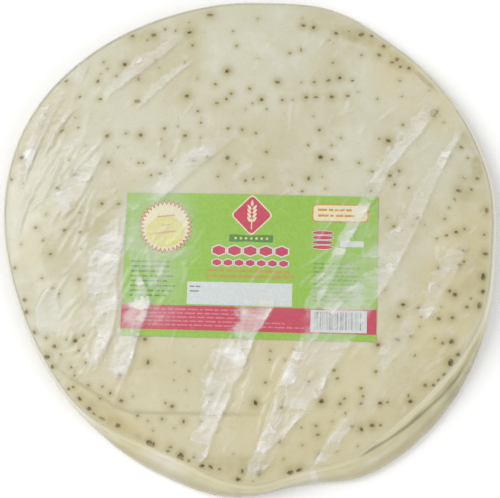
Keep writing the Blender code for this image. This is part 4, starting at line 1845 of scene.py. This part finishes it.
def make_label(inks, paper):
    """Make the paper sheet and everything printed on it, with generic shapes and no lettering."""
    half_length, half_width = LABEL_LENGTH / MM / 2, LABEL_WIDTH / MM / 2
    pieces = [paper_sheet(half_length, half_width, paper)]
    tree = stamp_tree()
    shapes = unit_shapes()

    def put(name, shape, ink, layer):
        mesh = make_mesh(name, shape[0], shape[1])
        lay_on_label(mesh, layer)
        pieces.append(make_piece(name, mesh, inks[ink]))

    def put_all(name, shape, places, ink, layer):
        points = [(u * MM, v * MM, 0.0) for u, v, *_ in places]
        sizes = np.array([(length * MM, width * MM, 1.0) for _, _, length, width, _ in places])
        turns = np.radians(np.array([float(place[4]) for place in places]))
        seeds = make_mesh("stamps", points, [], {"size": sizes, "turn": turns})
        piece = grow(name, seeds, tree, {"Shape": shapes[shape], "Finish": inks[ink]})
        lay_on_label(piece.data, layer)
        pieces.append(piece)

    # The green ground, the red band with its small print, the blank panel and the bars
    put("label_green_field", field(-half_length, -half_width, half_length, half_width), "green", 1)
    put("label_red_band", field(-half_length, -40.2, half_length, -25.2), "red", 2)
    put_all("label_band_lines", "strip", small_lines(-72.0, 36.0, -27.6, 2.4, 5, 0.9, 22), "pink", 3)
    put("label_white_panel", field(-37.5, -24.4, 26.5, -10.4), "white", 2)
    put_all("label_panel_marks", "strip", small_lines(-36.0, -28.0, -13.4, 2.8, 2, 0.9, 26), "grey", 3)
    put("label_bar_panel", field(38.0, -39.4, 71.8, -26.0), "white", 3)
    put_all("label_bars", "strip", bar_rows(40.5, 69.0, -32.4, 10.8, 21), "grey", 4)

    # The sunburst seal at the upper left
    seal = (-52.6, 23.5)
    put("label_seal_rays", fan(seal, burst(17.2, 14.4, 34), 4), "red", 2)
    put("label_seal_points", fan(seal, burst(16.0, 13.4, 34), 4), "cream", 3)
    put("label_seal_disc", fan(seal, oval(13.0, 13.0), 4), "cream", 4)
    put("label_seal_low_disc", fan((seal[0], seal[1] - 3.2), oval(11.8, 9.6), 4), "yellow", 5)
    seal_lines = [
        (seal[0], seal[1] + 6.6, 11.0, 0.9, 6),
        (seal[0], seal[1] + 1.0, 5.0, 0.9, 6),
        (seal[0], seal[1] - 3.6, 13.0, 1.0, 8),
    ]
    put_all("label_seal_lines", "strip", seal_lines, "orange", 6)

    # The badge at the top middle: an ear of wheat on a red diamond, over a leaf green bar
    badge = (0.5, 31.6)
    put("label_badge_edge", fan(badge, turned(rounded_box(9.4, 9.4, 2.4), 45), 4), "cream", 2)
    put("label_badge", fan(badge, turned(rounded_box(8.6, 8.6, 2.2), 45), 4), "red", 3)
    grains = [(badge[0], badge[1] + 7.4, 3.8, 1.9, 90)]
    for row in range(4):
        for side in (-1, 1):
            grains.append((badge[0] + side * 1.7, badge[1] + 4.8 - 2.5 * row, 3.8, 1.9, 90 - side * 38))
    put_all("label_badge_wheat", "grain", grains, "cream", 4)
    put_all("label_badge_stem", "strip", [(badge[0], badge[1] - 5.6, 0.7, 6.8, 0)], "cream", 4)
    put("label_ribbon", fan((0.5, 17.0), rounded_box(13.5, 2.3, 1.0), 3), "leaf", 2)
    ribbon_dots = [(-9.0 + 3.2 * index, 17.0, 1.6, 1.6, 0) for index in range(7)]
    put_all("label_ribbon_dots", "disc", ribbon_dots, "yellow", 3)

    # Two rows of red lozenges with white edges, and a line of small print under them
    big = [(-19.0 + 9.6 * index, 9.2, 7.6, 6.0, 0) for index in range(5)]
    small = [(-20.0 + 6.8 * index, 1.7, 5.2, 4.0, 0) for index in range(7)]
    put_all("label_row_edges", "lozenge", grown_by(big, 1.8), "white", 2)
    put_all("label_row", "lozenge", big, "red", 3)
    put_all("label_small_row_edges", "lozenge", grown_by(small, 1.4), "white", 2)
    put_all("label_small_row", "lozenge", small, "red", 3)
    put_all("label_orange_lines", "strip", small_lines(-26.0, 30.0, -3.2, 3.4, 2, 1.4, 25), "orange", 2)

    # Small print in columns at both sides
    put_all("label_left_lines", "strip", small_lines(-73.0, -44.0, 1.6, 3.0, 8, 1.0, 24), "leaf", 2)
    put_all("label_right_lines", "strip", small_lines(39.0, 71.0, 2.2, 2.5, 10, 1.0, 23), "moss", 2)

    # The bordered panel, the stack of red discs and the small white panel at the upper right
    put("label_corner_edge", fan((54.6, 33.8), rounded_box(17.2, 5.7, 2.6), 3), "orange", 2)
    put("label_corner_panel", fan((54.6, 33.8), rounded_box(16.4, 4.9, 2.2), 3), "cream", 3)
    put_all("label_corner_lines", "strip", small_lines(41.0, 66.0, 35.8, 3.6, 2, 1.4, 27), "orange", 4)
    discs = [(44.2, 12.4 + 3.0 * index, 12.6, 2.2, 0) for index in range(4)]
    put_all("label_disc_edges", "disc", grown_by(discs, 0.8), "white", 2)
    put_all("label_discs", "disc", discs, "red", 3)
    put("label_small_panel", fan((62.0, 14.7), rounded_box(7.2, 1.9, 0.8), 2), "white", 2)

    for shape in shapes.values():
        bpy.data.objects.remove(shape, do_unlink=True)
    return pieces


# The camera's place and lens, then the floor and the softboxes: direction and lean from the upright
# in degrees, distance and size in metres
CAMERA_DISTANCE = 0.75
CAMERA_LEAN_RIGHT = 4.0
CAMERA_LEAN_FRONT = 11.0
CAMERA_LENS = 87.1
CAMERA_AIM = (0.0024, -0.0055, 0.011)
FLOOR_HALF = 3.0
FLOOR_GAP = 0.0003
LEFT_SOFTBOX = (155, 38, 1.9, (1.1, 1.1))
RIGHT_SOFTBOX = (-35, 52, 1.5, (0.9, 0.9))


def make_camera():
    """Look down on the pack from a little in front, as the photo does."""
    lean_right = math.radians(CAMERA_LEAN_RIGHT)
    lean_front = math.radians(CAMERA_LEAN_FRONT)
    back = Vector((math.sin(lean_right), -math.sin(lean_front), 0.0))
    back.z = math.sqrt(1.0 - back.length_squared)
    right = (-back).cross(Vector((0.0, 1.0, 0.0))).normalized()
    up = right.cross(-back)
    data = bpy.data.cameras.new("camera")
    data.lens = CAMERA_LENS
    data.sensor_width = 36.0
    camera = bpy.data.objects.new("camera", data)
    turn = Matrix((right, up, back)).transposed().to_4x4()
    camera.matrix_world = Matrix.Translation(Vector(CAMERA_AIM) + back * CAMERA_DISTANCE) @ turn
    bpy.context.scene.collection.objects.link(camera)
    bpy.context.scene.camera = camera


def make_softbox(name, direction, lean, distance, size, power):
    """Hang a soft lamp over the pack, leaning away from the upright towards a direction."""
    data = bpy.data.lights.new(name, "AREA")
    data.shape = "RECTANGLE"
    data.size, data.size_y = size
    data.energy = power
    lamp = bpy.data.objects.new(name, data)
    tilt, turn = math.radians(lean), math.radians(direction)
    away = Vector((math.sin(tilt) * math.cos(turn), math.sin(tilt) * math.sin(turn), math.cos(tilt)))
    lamp.location = away * distance
    lamp.rotation_euler = away.to_track_quat("Z", "Y").to_euler()
    bpy.context.scene.collection.objects.link(lamp)


def make_studio():
    """Set a pale floor, even white surroundings and two softboxes."""
    half = FLOOR_HALF
    level = cad_box[0].z - FLOOR_GAP
    material, tree, output = new_material("pale_studio_floor")
    place = add_node(tree, "ShaderNodeTexCoord").outputs["Object"]
    colour = blend_colours(tree, noise_socket(tree, place, size=0.4), srgb("#FDFDFD"), srgb("#FAFAFA"))
    shader = add_node(tree, "ShaderNodeBsdfPrincipled", None, {"Base Color": colour, "Roughness": 0.9})
    tree.links.new(shader.outputs[0], output.inputs[0])
    corners = [(-half, -half, level), (half, -half, level), (half, half, level), (-half, half, level)]
    floor = make_piece("studio_floor", make_mesh("studio_floor", corners, [(0, 1, 2, 3)]), material)

    world = bpy.data.worlds.new("white_room")
    world.use_nodes = True
    background = world.node_tree.nodes["Background"]
    background.inputs["Color"].default_value = (1.0, 1.0, 1.0, 1.0)
    background.inputs["Strength"].default_value = WORLD_STRENGTH
    bpy.context.scene.world = world
    make_softbox("left_softbox", *LEFT_SOFTBOX, LEFT_POWER)
    make_softbox("right_softbox", *RIGHT_SOFTBOX, RIGHT_POWER)


bpy.context.scene.view_settings.view_transform = "Standard"
make_camera()
make_studio()

breads, blisters = make_breads(lavash_crumb(), scorched_crust())
film = make_film(cast_film())
paper = printed_paper("label_paper_stock", LABEL_WHITE)
inks = {
    "green": printed_paper("green_ink_on_paper", LABEL_GREEN),
    "red": printed_paper("red_ink_on_paper", LABEL_RED),
    "cream": printed_paper("cream_ink_on_paper", LABEL_CREAM),
    "yellow": printed_paper("yellow_ink_on_paper", LABEL_YELLOW),
    "white": printed_paper("bare_white_paper", LABEL_WHITE),
    "orange": printed_paper("orange_ink_on_paper", LABEL_ORANGE),
    "leaf": printed_paper("dark_green_ink_on_paper", LABEL_LEAF),
    "moss": printed_paper("moss_green_ink_on_paper", LABEL_MOSS),
    "grey": printed_paper("grey_ink_on_paper", LABEL_GREY),
    "pink": printed_paper("pink_ink_on_paper", LABEL_PINK),
}
label_pieces = make_label(inks, paper)

for bread in breads:
    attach(bread, "root")
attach(blisters, "root")
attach(film, "root")
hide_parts("bag")
for piece in label_pieces:
    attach(piece, "root")
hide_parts("label")
